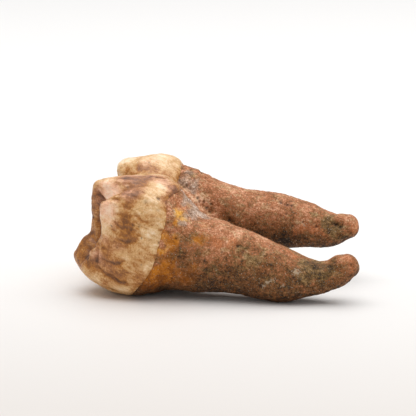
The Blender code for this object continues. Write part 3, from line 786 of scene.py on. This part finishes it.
OLIVE_PLACES = (
    (5.0, -11.4, 8.3, 1.2, 0.9), (6.2, -11.8, 7.2, 1.2, 0.9), (7.1, -12.1, 6.4, 1.2, 0.9),
    (5.6, -12.3, 5.7, 1.1, 0.7), (4.2, -12.1, 6.6, 1.1, 0.6), (0.8, -12.4, 5.6, 1.0, 0.8),
    (-0.1, -12.3, 4.8, 0.9, 0.7), (7.6, -11.5, 7.5, 1.0, 0.8), (13.9, -9.9, 6.5, 1.3, 0.9),
    (15.3, -10.5, 5.4, 1.6, 1.0), (16.9, -10.6, 4.6, 1.5, 1.0), (18.0, -10.1, 5.5, 1.2, 0.8),
    (13.1, -11.5, 5.2, 1.2, 0.7), (16.0, -8.3, 6.2, 1.6, 0.9), (14.4, -11.5, 4.1, 1.5, 0.9),
    (9.0, -12.3, 3.6, 1.3, 0.7), (7.0, -12.3, 5.0, 1.2, 0.7), (15.4, 5.0, 9.6, 1.6, 0.9),
    (13.6, 5.6, 10.6, 1.6, 0.6), (17.2, 5.6, 8.2, 1.6, 0.8), (-6.2, -12.4, 12.1, 0.9, 0.8),
    (-5.6, -12.7, 7.4, 1.2, 0.7), (-2.4, -12.2, 10.5, 1.2, 0.7), (-4.3, -12.7, 8.2, 1.0, 0.6),
    (-5.7, 4.8, 16.3, 1.4, 0.6), (12.0, -11.9, 3.6, 1.2, 0.6),
)
RUST_PLACES = (
    (20.8, -9.0, 7.1, 1.2, 0.5), (20.2, -9.6, 6.6, 1.0, 0.4), (21.2, -9.6, 5.8, 1.1, 0.5),
    (20.0, 6.0, 8.6, 1.2, 1.0), (10.9, 4.2, 8.2, 1.0, 0.8), (12.3, 4.3, 8.6, 0.9, 0.9),
    (13.9, 4.6, 8.4, 0.9, 1.0), (15.4, 5.0, 8.2, 0.9, 0.9), (12.6, -9.6, 6.8, 1.0, 0.8),
    (11.6, -9.4, 7.4, 0.9, 0.7), (0.8, -11.6, 9.6, 1.2, 0.8), (3.0, -11.4, 9.0, 1.2, 0.8),
    (-0.8, -11.2, 11.4, 1.2, 0.7), (20.6, 7.4, 9.4, 1.2, 0.8), (-5.9, -8.9, 14.8, 1.2, 0.9),
    (-5.2, -9.4, 14.4, 1.1, 0.8),
)
SHADE_PLACES = (
    (-6.0, -12.8, 9.6, 1.1, 1.0), (-6.6, -12.9, 10.6, 0.9, 0.8), (-4.6, -12.8, 9.0, 1.0, 0.6),
    (-1.6, -12.4, 8.6, 1.2, 0.4), (2.4, -12.4, 5.2, 1.4, 0.4), (-6.2, -12.5, 12.2, 0.8, 0.9),
    (-6.0, -12.9, 10.6, 0.7, 0.9), (-5.6, -12.8, 7.6, 1.0, 0.6), (-3.0, -12.3, 10.4, 1.0, 0.7),
    (-4.0, -12.7, 8.0, 0.9, 0.6), (0.6, 3.6, 9.6, 2.2, 1.0), (4.0, 3.6, 7.6, 2.2, 0.9),
    (8.4, 4.0, 7.2, 2.2, 0.9), (12.0, 4.4, 7.2, 1.6, 0.7), (15.8, 4.8, 9.4, 1.4, 0.8),
    (17.0, 5.4, 9.2, 1.0, 0.9), (4.6, -11.2, 8.6, 1.0, 0.6), (16.0, -9.8, 5.8, 1.4, 0.6),
    (18.4, -9.6, 6.2, 0.8, 0.7), (0.0, -12.6, 3.2, 2.0, 0.4), (6.0, -12.2, 3.6, 2.0, 0.4),
    (-3.2, 3.0, 12.2, 1.2, 0.8),
)
PALE_TIPS = (
    (20.8, -9.2, 6.8, 1.6, 1.0), (21.0, -9.8, 5.6, 1.2, 0.8), (20.6, 6.4, 9.2, 1.2, 0.5),
    (0.0, 6.0, 14.6, 3.0, 0.6),
)
CRATER_GROUND = (
    (-3.4, 3.1, 12.3, 1.6, 1.0), (-4.4, 2.6, 13.2, 1.3, 0.8), (-2.4, 3.4, 11.4, 1.2, 0.9),
)
CHALK_PLACES = (
    (9.0, -12.3, 3.6, 0.35, 0.9), (9.6, -12.3, 4.1, 0.35, 0.8), (8.3, -12.1, 3.1, 0.35, 0.8),
    (13.1, -11.5, 5.2, 0.6, 0.9), (3.2, -11.9, 7.6, 0.2, 1.0), (11.3, -12.0, 3.2, 0.3, 0.8),
    (12.2, 4.2, 9.3, 0.35, 0.8), (1.6, 3.6, 10.6, 0.3, 0.7),
)
print(len(AMBER_PLACES) + len(OLIVE_PLACES) + len(RUST_PLACES), "places of coloured stain")

# %% [markdown]
# The darkness starts from one ground. It is less on the worn tips and under the craters, which are the palest
# parts, less on top as painted light, and a little less on the fibres' crests as a painted highlight. It is
# more underneath and in dips, as painted shade, and at the named shady places. Sides that the photograph
# doesn't show get their stains from slow hills of noise instead of places.

# %% Stains, painted light and painted shade of the roots
GENERAL = 0.75
GROUND, TOP_PAINTED_LIGHT, UNDERSIDE_PAINTED_SHADE, DIP_PAINTED_SHADE, FIBRE_PAINTED_HIGHLIGHT = 0.65, 0.28, 0.16, 0.16, 0.05
SHADE, RUST_FADE, AMBER_FADE, CRUST_FADE, CRATER_FADE, TIP_FADE = 0.30, 0.14, 0.16, 0.16, 0.40, 0.14
photographed = step(-root_facing @ np.array(to_camera), 0.25, -0.15)
elsewhere = 1 - photographed
slow = layers(root_place, 4.2, 3, seed=103)
slow_too = layers(root_place, 3.4, 3, seed=107)
on_near_root, on_far_root = step(root_place[:, 2], 4.5, 10.5), step(root_place[:, 2], 6.6, 10.6)
on_top = np.where(root_place[:, 1] < 0, on_near_root, on_far_root)
crust_general = elsewhere * (1 - step(below_neck, 0.8, 3.6)) * step(slow, 0.0, 0.4) * GENERAL
amber_general = elsewhere * (1 - step(below_neck, 1.5, 5.0)) * step(-slow, -0.2, 0.3) * GENERAL
olive_general = elsewhere * step(slow_too, 0.0, 0.45) * GENERAL
rust_general = elsewhere * step(-slow_too, 0.1, 0.5) * GENERAL
amber = np.maximum(spots(root_uneven, AMBER_PLACES), amber_general)
rust = spots(root_uneven, RUST_PLACES)
# Where the grain, lumps, matted crust and rubble sink: the mask of the painted shade in the dips.
dips = step(-(0.8 * grain + 0.4 * lumps + 2.0 * crust * matted + 1.2 * rubble * bumps), 0.0, 0.8)
# Painted light and shade: the skin is made lighter on top and darker where it faces down, as the overhead
# light and its shade fall.
darkness = GROUND - TOP_PAINTED_LIGHT * on_top + UNDERSIDE_PAINTED_SHADE * step(-root_facing[:, 2], 0.0, 0.8)
# Painted shade darkens the dips, and a faint painted highlight lightens the fibres' crests.
darkness += DIP_PAINTED_SHADE * dips - FIBRE_PAINTED_HIGHLIGHT * fibres
darkness += SHADE * spots(root_uneven, SHADE_PLACES) - RUST_FADE * rust
darkness -= AMBER_FADE * amber * photographed + CRUST_FADE * crust
darkness -= CRATER_FADE * spots(root_uneven, CRATER_GROUND) + TIP_FADE * spots(root_uneven, PALE_TIPS)
root_stains_light_and_shade = {
    "crust": np.maximum(crust, crust_general),
    "amber": amber,
    "olive": np.maximum(spots(root_uneven, OLIVE_PLACES), olive_general),
    "rust": np.maximum(rust, rust_general),
    "chalk": spots(ragged, CHALK_PLACES),
    "pit": root_pit_specks_and_shade,
    "darkness": darkness,
}
for name, amount in root_stains_light_and_shade.items():
    paint(root_mesh, name, amount)
print("root darkness from", darkness.min().round(2), "to", darkness.max().round(2))

# %% [markdown]
# The enamel has one darkness too. The near wall is cream with a brown-orange stain across its middle, the
# top of the near lobe is dark, its rims and corner are pale, the cusps are worn to orange-brown, and the far
# lobe is the cleanest ivory. So soft spots are added to an even ground and taken from it. A second number,
# pink, says where the colours lean to mauve.

# %% Places of the enamel's stains
BROWN_PLACES = (
    (-12.4, -13.2, 11.4, 1.9, 0.26), (-11.3, -13.4, 12.4, 1.0, 0.16), (-13.6, -12.8, 10.0, 1.3, 0.14),
    (-12.1, -13.4, 9.6, 1.2, 0.18), (-12.6, -12.8, 13.4, 1.2, 0.12), (-14.7, -12.6, 8.4, 1.5, 0.16),
    (-15.3, -12.8, 7.1, 1.3, 0.20), (-13.7, -13.4, 6.2, 1.2, 0.18), (-15.0, -13.2, 4.8, 1.0, 0.22),
    (-13.0, -13.6, 4.1, 1.0, 0.18), (-16.1, -12.3, 8.3, 0.5, 0.30), (-10.8, -13.7, 10.6, 0.9, 0.12),
    (-9.8, -13.9, 7.3, 1.4, 0.20), (-15.5, -12.6, 2.2, 1.2, 0.22), (-21.0, -8.0, 6.5, 2.0, 0.12),
    (-18.3, -10.0, 7.3, 1.4, 0.16), (-17.9, -8.6, 8.0, 1.2, 0.12), (-10.2, -13.8, 4.0, 1.2, 0.14),
    (-6.3, -9.2, 16.4, 1.3, 0.32), (-8.4, 5.0, 18.3, 1.2, 0.12), (-21.1, -7.2, 7.2, 1.8, 0.24),
    (-20.6, -8.6, 5.6, 1.8, 0.16), (-19.8, -7.6, 8.6, 1.2, 0.22), (-19.0, -10.6, 5.8, 1.2, 0.20),
    (-17.8, -8.4, 8.6, 1.0, 0.24), (-14.6, -12.6, 3.6, 1.6, 0.16), (-12.4, -13.2, 4.0, 1.4, 0.14),
    (-10.6, -12.9, 2.2, 1.4, 0.10), (-16.4, -12.6, 5.6, 1.0, 0.16), (-12.0, 2.6, 17.8, 1.0, 0.28),
    (-13.6, 3.0, 17.4, 1.0, 0.26), (-10.6, 2.4, 17.8, 0.9, 0.26), (-7.2, 4.4, 16.4, 1.2, 0.34),
    (-17.2, 5.0, 16.6, 1.0, 0.22), (-9.0, 2.2, 16.8, 1.0, 0.30), (-15.8, 2.6, 16.6, 1.2, 0.25),
)
DARK_TOP_PLACES = (
    (-13.4, -7.4, 17.7, 1.2, 0.36), (-11.0, -7.6, 17.8, 1.3, 0.30), (-9.4, -7.2, 18.0, 1.0, 0.30),
    (-15.0, -7.6, 17.4, 0.8, 0.20), (-12.6, -9.4, 16.9, 1.2, 0.30), (-10.8, -9.4, 17.2, 1.0, 0.22),
    (-12.4, -11.6, 15.8, 1.1, 0.28), (-11.4, -11.3, 16.3, 1.0, 0.20), (-13.8, -10.2, 16.3, 0.9, 0.20),
    (-18.5, -7.4, 14.0, 1.4, 0.22), (-18.7, -7.1, 12.2, 1.3, 0.22), (-18.3, -7.5, 15.4, 1.0, 0.24),
    (-19.0, -7.2, 9.8, 1.2, 0.30), (-18.6, -11.6, 5.0, 1.2, 0.28), (-19.8, -9.6, 5.6, 1.2, 0.24),
)
PALE_PLACES = (
    (-21.0, -8.0, 6.5, 1.8, 0.12), (-8.6, -13.9, 10.9, 1.2, 0.24), (-7.8, -13.7, 9.1, 0.9, 0.14),
    (-9.0, -13.7, 5.5, 1.1, 0.26), (-8.6, -13.4, 14.0, 1.0, 0.12), (-7.2, -13.6, 12.6, 0.9, 0.18),
    (-10.2, -14.0, 8.0, 1.0, 0.12), (-9.0, 4.6, 18.5, 1.6, 0.20), (-8.0, 5.4, 18.1, 1.2, 0.14),
    (-16.6, 6.0, 18.0, 1.6, 0.34), (-13.6, -12.7, 1.6, 1.2, 0.10), (-16.8, -11.8, 3.0, 1.2, 0.12),
    (-15.9, -8.4, 16.5, 1.2, 0.34), (-16.6, -8.5, 15.6, 1.2, 0.34), (-15.8, -12.2, 12.0, 1.0, 0.14),
    (-15.6, -12.1, 13.5, 1.3, 0.20), (-14.8, -12.0, 14.2, 1.2, 0.16), (-16.0, -12.1, 10.4, 0.8, 0.14),
    (-16.6, -12.2, 7.2, 0.7, 0.16), (-6.6, -8.0, 16.8, 0.8, 0.10), (-7.6, -10.0, 17.0, 1.2, 0.22),
    (-8.2, -11.8, 15.8, 1.3, 0.16), (-9.0, -8.0, 17.7, 0.7, 0.12), (-11.6, 6.0, 18.8, 1.6, 0.14),
)
PINK_PLACES = (
    (-6.3, -9.4, 16.3, 1.4, 0.8), (-5.9, -11.2, 15.2, 1.0, 0.5), (-15.9, -8.4, 16.5, 2.0, 1.0),
    (-16.9, -8.5, 15.0, 2.0, 1.0), (-15.8, -12.0, 12.0, 1.7, 0.6), (-15.8, -11.9, 13.8, 1.8, 0.8),
    (-13.1, -7.2, 17.9, 2.4, 1.0), (-10.2, -7.4, 18.0, 2.2, 1.0), (-12.4, -10.6, 16.6, 2.0, 0.9),
    (-7.6, -8.6, 17.4, 1.6, 0.7), (-18.6, -7.4, 12.6, 2.4, 0.2), (-18.6, -9.6, 7.4, 2.0, 0.3),
    (-16.8, -12.2, 6.6, 1.6, 0.7), (-15.4, -12.9, 5.4, 1.6, 0.6), (-14.4, -12.9, 8.6, 1.4, 0.45),
    (-12.6, 4.0, 18.6, 1.8, 0.5), (-15.6, -12.0, 9.4, 1.0, 0.5),
)
print(len(BROWN_PLACES) + len(DARK_TOP_PLACES), "dark places,", len(PALE_PLACES), "pale ones")

# %% [markdown]
# Hollows and folds are darkened as painted shade and crests are lightened as a painted highlight, so the
# relief's own numbers are used again. A row of short dark ticks follows the enamel's edge, over a band of
# painted shade. Sides that the photograph doesn't show get slow hills of noise. The last number painted
# holds the pits: black specks, with painted shade in the holes.

# %% Stains, painted shade and painted highlights of the enamel
CROWN_GROUND, CHEWING_DIRT, FAR_LOBE_FADE = 0.39, 0.02, 0.06
EDGE_TICKS_AND_SHADE, EDGE_SHADE_REACH, EDGE_SHADE_MIDDLE, TICK_SIZE = 0.26, 0.6, 0.50, (0.34, 0.34, 1.6)
HOLLOW_PAINTED_SHADE, CREST_PAINTED_HIGHLIGHT, FOLD_PAINTED_SHADE, UNSEEN_CLOUDS, UNSEEN_PINK = 0.13, 0.07, 0.22, 0.45, 0.45
UNSEEN_CHEWING_DIRT, UNSEEN_HOLLOW_PAINTED_SHADE = 0.08, 0.20
crown_uneven = wander(wander(crown_place, 2.2, 0.7, seed=111), 0.7, 0.25, seed=114)
crown_elsewhere = 1 - step(-crown_facing @ np.array(to_camera), 0.25, -0.15)
crown_slow = layers(crown_place, 4.0, 3, seed=117)
chewing = step(crown_facing @ UP_TOOTH, 0.15, 0.6)


def total(points, places):
    """Several soft spots added up: the sum of amount x spot."""
    return sum(amount * spot(points, x, y, z, radius) for x, y, z, radius, amount in places)


crown_darkness = CROWN_GROUND + total(crown_uneven, BROWN_PLACES) + total(crown_uneven, DARK_TOP_PLACES)
crown_darkness -= total(crown_uneven, PALE_PLACES)
crown_darkness += chewing * CHEWING_DIRT - FAR_LOBE_FADE * step(crown_place[:, 1], -3.0, 0.5)
edge_ticks = layers(flat_swh, TICK_SIZE, 2, seed=119)
edge_band = np.exp(-((flat_above / EDGE_SHADE_REACH) ** 2))
# Along the enamel's edge: short dark ticks over a band of painted shade.
crown_darkness += EDGE_TICKS_AND_SHADE * edge_band * (EDGE_SHADE_MIDDLE + edge_ticks)
# Painted shade darkens the hollows and folds, and a painted highlight lightens the crests.
crown_darkness += HOLLOW_PAINTED_SHADE * crown_hollow - CREST_PAINTED_HIGHLIGHT * crown_crest + FOLD_PAINTED_SHADE * crown_fold
crown_darkness += UNSEEN_CLOUDS * crown_elsewhere * crown_slow
# On the chewing surface of the unseen sides, painted shade darkens the hollows too.
crown_darkness += chewing * crown_elsewhere * (UNSEEN_CHEWING_DIRT + UNSEEN_HOLLOW_PAINTED_SHADE * crown_hollow)
pink_general = UNSEEN_PINK * crown_elsewhere * step(-crown_slow, 0.0, 0.5)
pink = np.maximum(spots(crown_uneven, PINK_PLACES), pink_general)
crown_stains_light_and_shade = {"darkness": crown_darkness, "pink": pink, "pit": crown_pit_specks_and_shade}
for name, amount in crown_stains_light_and_shade.items():
    paint(enamel_mesh, name, to_crown_vertices(amount))
print("enamel darkness from", crown_darkness.min().round(2), "to", crown_darkness.max().round(2))

# %% [markdown]
# Materials are made of nodes. A few short helpers keep the recipes readable. One adds a node, one reads a
# painted number, one lays grain of a given size in millimetres over the piece, and one turns a range of
# numbers into a soft mask. The last two break a painted number up with grain, so that a smooth spot gets the
# ragged edge of a real stain.

# %% Helpers for grain and stains
def node(tree, kind, inputs=None, **settings):
    """Adds a shader node, with its settings, and its sockets set to numbers or linked to other outputs."""
    made = tree.nodes.new("ShaderNode" + kind)
    for name, value in settings.items():
        setattr(made, name, value)
    for socket, value in (inputs or {}).items():
        if isinstance(value, bpy.types.NodeSocket):
            tree.links.new(value, made.inputs[socket])
        else:
            made.inputs[socket].default_value = value
    return made


def painted(tree, name):
    """A painted number, read back by its name."""
    return node(tree, "Attribute", attribute_name=name, attribute_type="GEOMETRY").outputs["Fac"]


def grained(tree, size, detail=4.0, rough=0.6, twist=0.0, stretch=None):
    """Noise of a given size in mm over the object's own coordinates, drawn out up the tooth if asked."""
    place = node(tree, "TexCoord").outputs["Object"]
    if stretch:
        turned = {"Vector": place, "Rotation": (0.0, CROWN_LEAN, 0.0), "Scale": (stretch, 1.0, 1.0)}
        place = node(tree, "Mapping", turned, vector_type="TEXTURE").outputs["Vector"]
    sockets = {"Vector": place, "Scale": 1 / (size * MM), "Detail": detail}
    sockets.update({"Roughness": rough, "Distortion": twist})
    return node(tree, "TexNoise", sockets).outputs["Fac"]


def masked(tree, value, low, high):
    """0 below low, 1 above high, soft between."""
    sockets = {"Value": value, "From Min": low, "From Max": high}
    return node(tree, "MapRange", sockets, interpolation_type="SMOOTHSTEP").outputs["Result"]


def patch(tree, name, grain, spread=1.4, low=0.3, high=0.6):
    """A painted layer whose edges are broken up by a grain: layer + spread x grain, seen as a soft mask."""
    terms = {0: grain, 1: spread, 2: painted(tree, name)}
    broken = node(tree, "Math", terms, operation="MULTIPLY_ADD").outputs[0]
    return masked(tree, broken, low + spread / 2, high + spread / 2)


def unevenly(tree, name, grains):
    """A painted layer with grains added: layer + the sum of weight x (grain - 1/2)."""
    level = painted(tree, name)
    for grain, weight in grains:
        terms = {0: grain, 1: weight, 2: level}
        level = node(tree, "Math", terms, operation="MULTIPLY_ADD").outputs[0]
    middle = -sum(weight for grain, weight in grains) / 2
    return node(tree, "Math", {0: level, 1: middle}, operation="ADD").outputs[0]


# %% [markdown]
# The other helpers turn numbers into a finish. A run of colours goes from clean to dark as the darkness
# rises, coats of other colours are laid over it where their masks say so, and roughness and bumps follow
# the grain.

# %% Helpers for colour and gloss
def shades(tree, value, stops):
    """A run of colours, from the first at its place to the last at its own."""
    ramp = node(tree, "ValToRGB", {"Fac": value})
    marks = ramp.color_ramp.elements
    while len(marks) < len(stops):
        marks.new(0.5)
    for mark, (place, colour) in zip(marks, stops):
        mark.position = place
        mark.color = colour
    return ramp.outputs["Color"]


def coats(tree, ground, layers_of_colour):
    """Lays colours over the ground in turn: each has a mask, a strength from 0 to 1, and a colour."""
    for mask, strength, colour in layers_of_colour:
        share = node(tree, "Math", {0: mask, 1: strength}, operation="MULTIPLY").outputs[0]
        ground = node(tree, "Mix", {0: share, 6: ground, 7: colour}, data_type="RGBA").outputs[2]
    return ground


def new_finish(name, **constants):
    """A material whose shader has these numbers on its own sockets."""
    material = bpy.data.materials.new(name)
    material.use_nodes = True
    shader = material.node_tree.nodes["Principled BSDF"]
    for socket, value in constants.items():
        shader.inputs[socket.replace("_", " ")].default_value = value
    return material, material.node_tree, shader


def screen(red, green, blue):
    """A colour as a screen shows it, 0 to 255, as the linear numbers that nodes take."""
    value = np.array([red, green, blue]) / 255
    linear = np.where(value <= 0.04045, value / 12.92, ((value + 0.055) / 1.055) ** 2.4)
    return (*linear, 1.0)


def rough_and_bumpy(tree, shader, gloss, low, high, heights):
    """Roughness from low to high with a grain, and stacked bumps: each a grain, a strength and a height."""
    sockets = {"Value": gloss, "From Min": 0.3, "From Max": 0.7, "To Min": low, "To Max": high}
    tree.links.new(node(tree, "MapRange", sockets).outputs["Result"], shader.inputs["Roughness"])
    normal = None
    for height, strength, tall in heights:
        sockets = {"Height": height, "Strength": strength, "Distance": tall * MM}
        if normal:
            sockets["Normal"] = normal
        normal = node(tree, "Bump", sockets).outputs["Normal"]
    tree.links.new(normal, shader.inputs["Normal"])


# %% [markdown]
# Enamel is glassy and a little translucent, so light passes a short way into it. Noise of five sizes is added
# to the painted darkness, which then picks its colour from one of two runs: ivory to honey and brown, or
# peach to mauve-brown where the pink number says so. Dark flecks and the pits are laid over them.

# %% Finish of the enamel
enamel_finish, tree, shader = new_finish(
    "stained_enamel", IOR=1.55, Subsurface_Weight=0.08, Subsurface_Scale=0.0004
)
shader.inputs["Subsurface Radius"].default_value = (1.0, 0.55, 0.3)
cloud = grained(tree, 1.9, 5.0, 0.6, 0.6)
streak = grained(tree, 0.80, 5.0, 0.62, 0.8, stretch=2.6)
thread = grained(tree, 0.28, 3.0, 0.6, 0.3, stretch=4.5)
mottle = grained(tree, 0.70, 5.0, 0.68, 0.4)
fleck = grained(tree, 0.24, 3.0, 0.65)
weights = ((cloud, 0.55), (streak, 0.50), (thread, 0.22), (mottle, 0.45), (fleck, 0.55))
stain = unevenly(tree, "darkness", weights)
honey = shades(tree, stain, (
    (0.00, screen(250, 226, 196)), (0.22, screen(236, 198, 150)), (0.42, screen(210, 162, 104)),
    (0.60, screen(176, 112, 38)), (0.78, screen(136, 80, 20)), (1.00, screen(88, 52, 20)),
))
mauve = shades(tree, stain, (
    (0.00, screen(255, 220, 192)), (0.25, screen(242, 188, 152)), (0.45, screen(208, 148, 114)),
    (0.62, screen(172, 114, 76)), (0.80, screen(134, 84, 50)), (1.00, screen(86, 52, 32)),
))
rosy = patch(tree, "pink", cloud, 0.9, 0.0, 1.0)
ground = node(tree, "Mix", {0: rosy, 6: honey, 7: mauve}, data_type="RGBA").outputs[2]
ground = coats(tree, ground, (
    (masked(tree, fleck, 0.64, 0.74), 0.45, screen(110, 66, 32)),
    # The pits: black specks, with painted shade in the holes.
    (painted(tree, "pit"), 0.85, screen(58, 34, 20)),
))
tree.links.new(ground, shader.inputs["Base Color"])
enamel_bumps = ((fleck, 0.5, 0.05), (thread, 0.4, 0.06), (streak, 0.6, 0.16))
rough_and_bumpy(tree, shader, mottle, 0.28, 0.50, enamel_bumps)
enamel_mesh.materials.append(enamel_finish)
print("enamel finish of", len(tree.nodes), "nodes")

# %% [markdown]
# The roots are dentine and cement, duller and more porous than enamel. Burial has stained them red-brown,
# with olive-grey mineral bloom, an amber band under the crown's edge and black specks in the pits, which
# also carry painted shade. Each of these is its own run of colours over the same darkness. The amber one
# reads a calmer darkness with less grain in it, because resin-like stain has soaked in evenly.

# %% Finish of the roots
root_finish, tree, shader = new_finish("stained_dentine", IOR=1.5, Specular_IOR_Level=0.28)
cloud = grained(tree, 2.8, 5.0, 0.62, 0.5)
mottle = grained(tree, 0.95, 5.0, 0.70, 0.4)
mottle_too = grained(tree, 0.80, 5.0, 0.70, 0.6, stretch=1.8)
speckle = grained(tree, 0.34, 3.0, 0.72)
dust = grained(tree, 0.20, 2.0, 0.6)
stain = unevenly(tree, "darkness", ((cloud, 0.75), (mottle, 0.80), (speckle, 1.05), (dust, 1.00)))
calm = unevenly(tree, "darkness", ((cloud, 0.70), (mottle, 0.50), (speckle, 0.40)))
russet = shades(tree, stain, (
    (0.00, screen(240, 192, 156)), (0.20, screen(206, 142, 104)), (0.38, screen(174, 108, 68)),
    (0.56, screen(146, 92, 52)), (0.74, screen(110, 68, 28)), (1.00, screen(42, 24, 10)),
))
drab = shades(tree, stain, (
    (0.00, screen(226, 204, 164)), (0.20, screen(194, 166, 122)), (0.40, screen(160, 128, 82)),
    (0.60, screen(120, 92, 50)), (0.80, screen(80, 58, 28)), (1.00, screen(34, 24, 12)),
))
ash = shades(tree, stain, (
    (0.02, screen(226, 206, 190)), (0.32, screen(180, 148, 126)),
    (0.56, screen(122, 92, 70)), (0.85, screen(50, 34, 24)),
))
resin = shades(tree, calm, (
    (0.24, screen(246, 184, 72)), (0.44, screen(204, 124, 18)),
    (0.66, screen(146, 80, 4)), (1.00, screen(56, 30, 2)),
))
fox = shades(tree, stain, (
    (0.10, screen(224, 150, 100)), (0.45, screen(190, 108, 58)),
    (0.75, screen(134, 74, 34)), (1.00, screen(60, 34, 16)),
))
ground = coats(tree, russet, (
    (masked(tree, mottle_too, 0.49, 0.60), 0.52, drab),
    (patch(tree, "rust", mottle, 1.4, 0.2, 0.7), 0.60, fox),
    (patch(tree, "olive", mottle_too, 1.8, 0.2, 0.8), 0.85, drab),
    (patch(tree, "amber", mottle, 1.2, 0.1, 0.6), 0.92, resin),
    (patch(tree, "crust", mottle, 1.3, 0.05, 0.5), 0.92, ash),
    (masked(tree, dust, 0.62, 0.70), 0.50, screen(214, 186, 156)),
    (patch(tree, "chalk", dust, 2.4, 0.25, 0.75), 0.55, screen(214, 188, 158)),
    # The pits: black specks, with painted shade in the holes.
    (painted(tree, "pit"), 0.92, screen(34, 24, 18)),
))
tree.links.new(ground, shader.inputs["Base Color"])
root_bumps = ((dust, 0.7, 0.08), (speckle, 0.9, 0.18), (mottle, 0.5, 0.2))
rough_and_bumpy(tree, shader, mottle, 0.50, 0.80, root_bumps)
root_mesh.materials.clear()
root_mesh.materials.append(root_finish)
print("root finish of", len(tree.nodes), "nodes")

# %% [markdown]
# Both pieces belong to the one body of the tooth and stand for its imported solid, which is hidden.

# %% Riding on the tooth
for piece, slot in ((enamel, "crown_enamel"), (roots, "root_dentine")):
    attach(piece, "root")
    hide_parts("tooth")
    print(piece.name, "rides on root,", triangles(piece.data), "triangles")

# %% [markdown]
# The floor is a plain pale sheet, with painted shade that makes it a little darker in front of the tooth than
# behind it. The light is that of a white tent: bright all round, and brighter from one large soft panel
# overhead, so the tops are light, the undersides dark, and the only shadow is a soft one where the tooth
# touches the table.

# %% Floor and light
FLOOR_HALF = 2.0
FRONT_PAPER_PAINTED_SHADE, BACK_PAPER = (0.68, 0.645, 0.615, 1.0), (0.86, 0.85, 0.84, 1.0)
PAPER_FRONT_AT, PAPER_BACK_AT = -0.07, 0.03
SKY_STRENGTH = 0.48
PANEL_SIDE, PANEL_POWER, PANEL_PLACE = 1.2, 9.4, (0.05, 0.06, 0.8)
floor_mesh = bpy.data.meshes.new("floor")
floor_corners = [(x * FLOOR_HALF, y * FLOOR_HALF, 0.0) for x, y in ((-1, -1), (1, -1), (1, 1), (-1, 1))]
floor_mesh.from_pydata(floor_corners, [], [(0, 1, 2, 3)])
floor = bpy.data.objects.new("floor", floor_mesh)
scene.collection.objects.link(floor)
paper, tree, shader = new_finish("pale_floor", Roughness=0.6)
across = node(tree, "SeparateXYZ", {"Vector": node(tree, "TexCoord").outputs["Object"]}).outputs["Y"]
paper_range = {"Value": across, "From Min": PAPER_FRONT_AT, "From Max": PAPER_BACK_AT}
toward_back = node(tree, "MapRange", paper_range).outputs["Result"]
# Painted shade: the floor's colour runs from a darker front to a paler back.
shades_of_paper = {0: toward_back, 6: FRONT_PAPER_PAINTED_SHADE, 7: BACK_PAPER}
tree.links.new(node(tree, "Mix", shades_of_paper, data_type="RGBA").outputs[2], shader.inputs["Base Color"])
floor_mesh.materials.append(paper)

world = bpy.data.worlds.new("white_tent")
scene.world = world
world.use_nodes = True
sky = world.node_tree.nodes["Background"]
sky.inputs["Color"].default_value = (1.0, 1.0, 1.0, 1.0)
sky.inputs["Strength"].default_value = SKY_STRENGTH
panel = bpy.data.lights.new("overhead_panel", "AREA")
panel.shape = "RECTANGLE"
panel.size, panel.size_y = PANEL_SIDE, PANEL_SIDE
panel.energy = PANEL_POWER
overhead = bpy.data.objects.new("overhead_panel", panel)
overhead.location = PANEL_PLACE
overhead.rotation_euler = (Vector((0.0, 0.0, 0.0)) - overhead.location).to_track_quat("-Z", "Y").to_euler()
scene.collection.objects.link(overhead)
print("panel of", PANEL_SIDE, "m at", PANEL_PLACE)
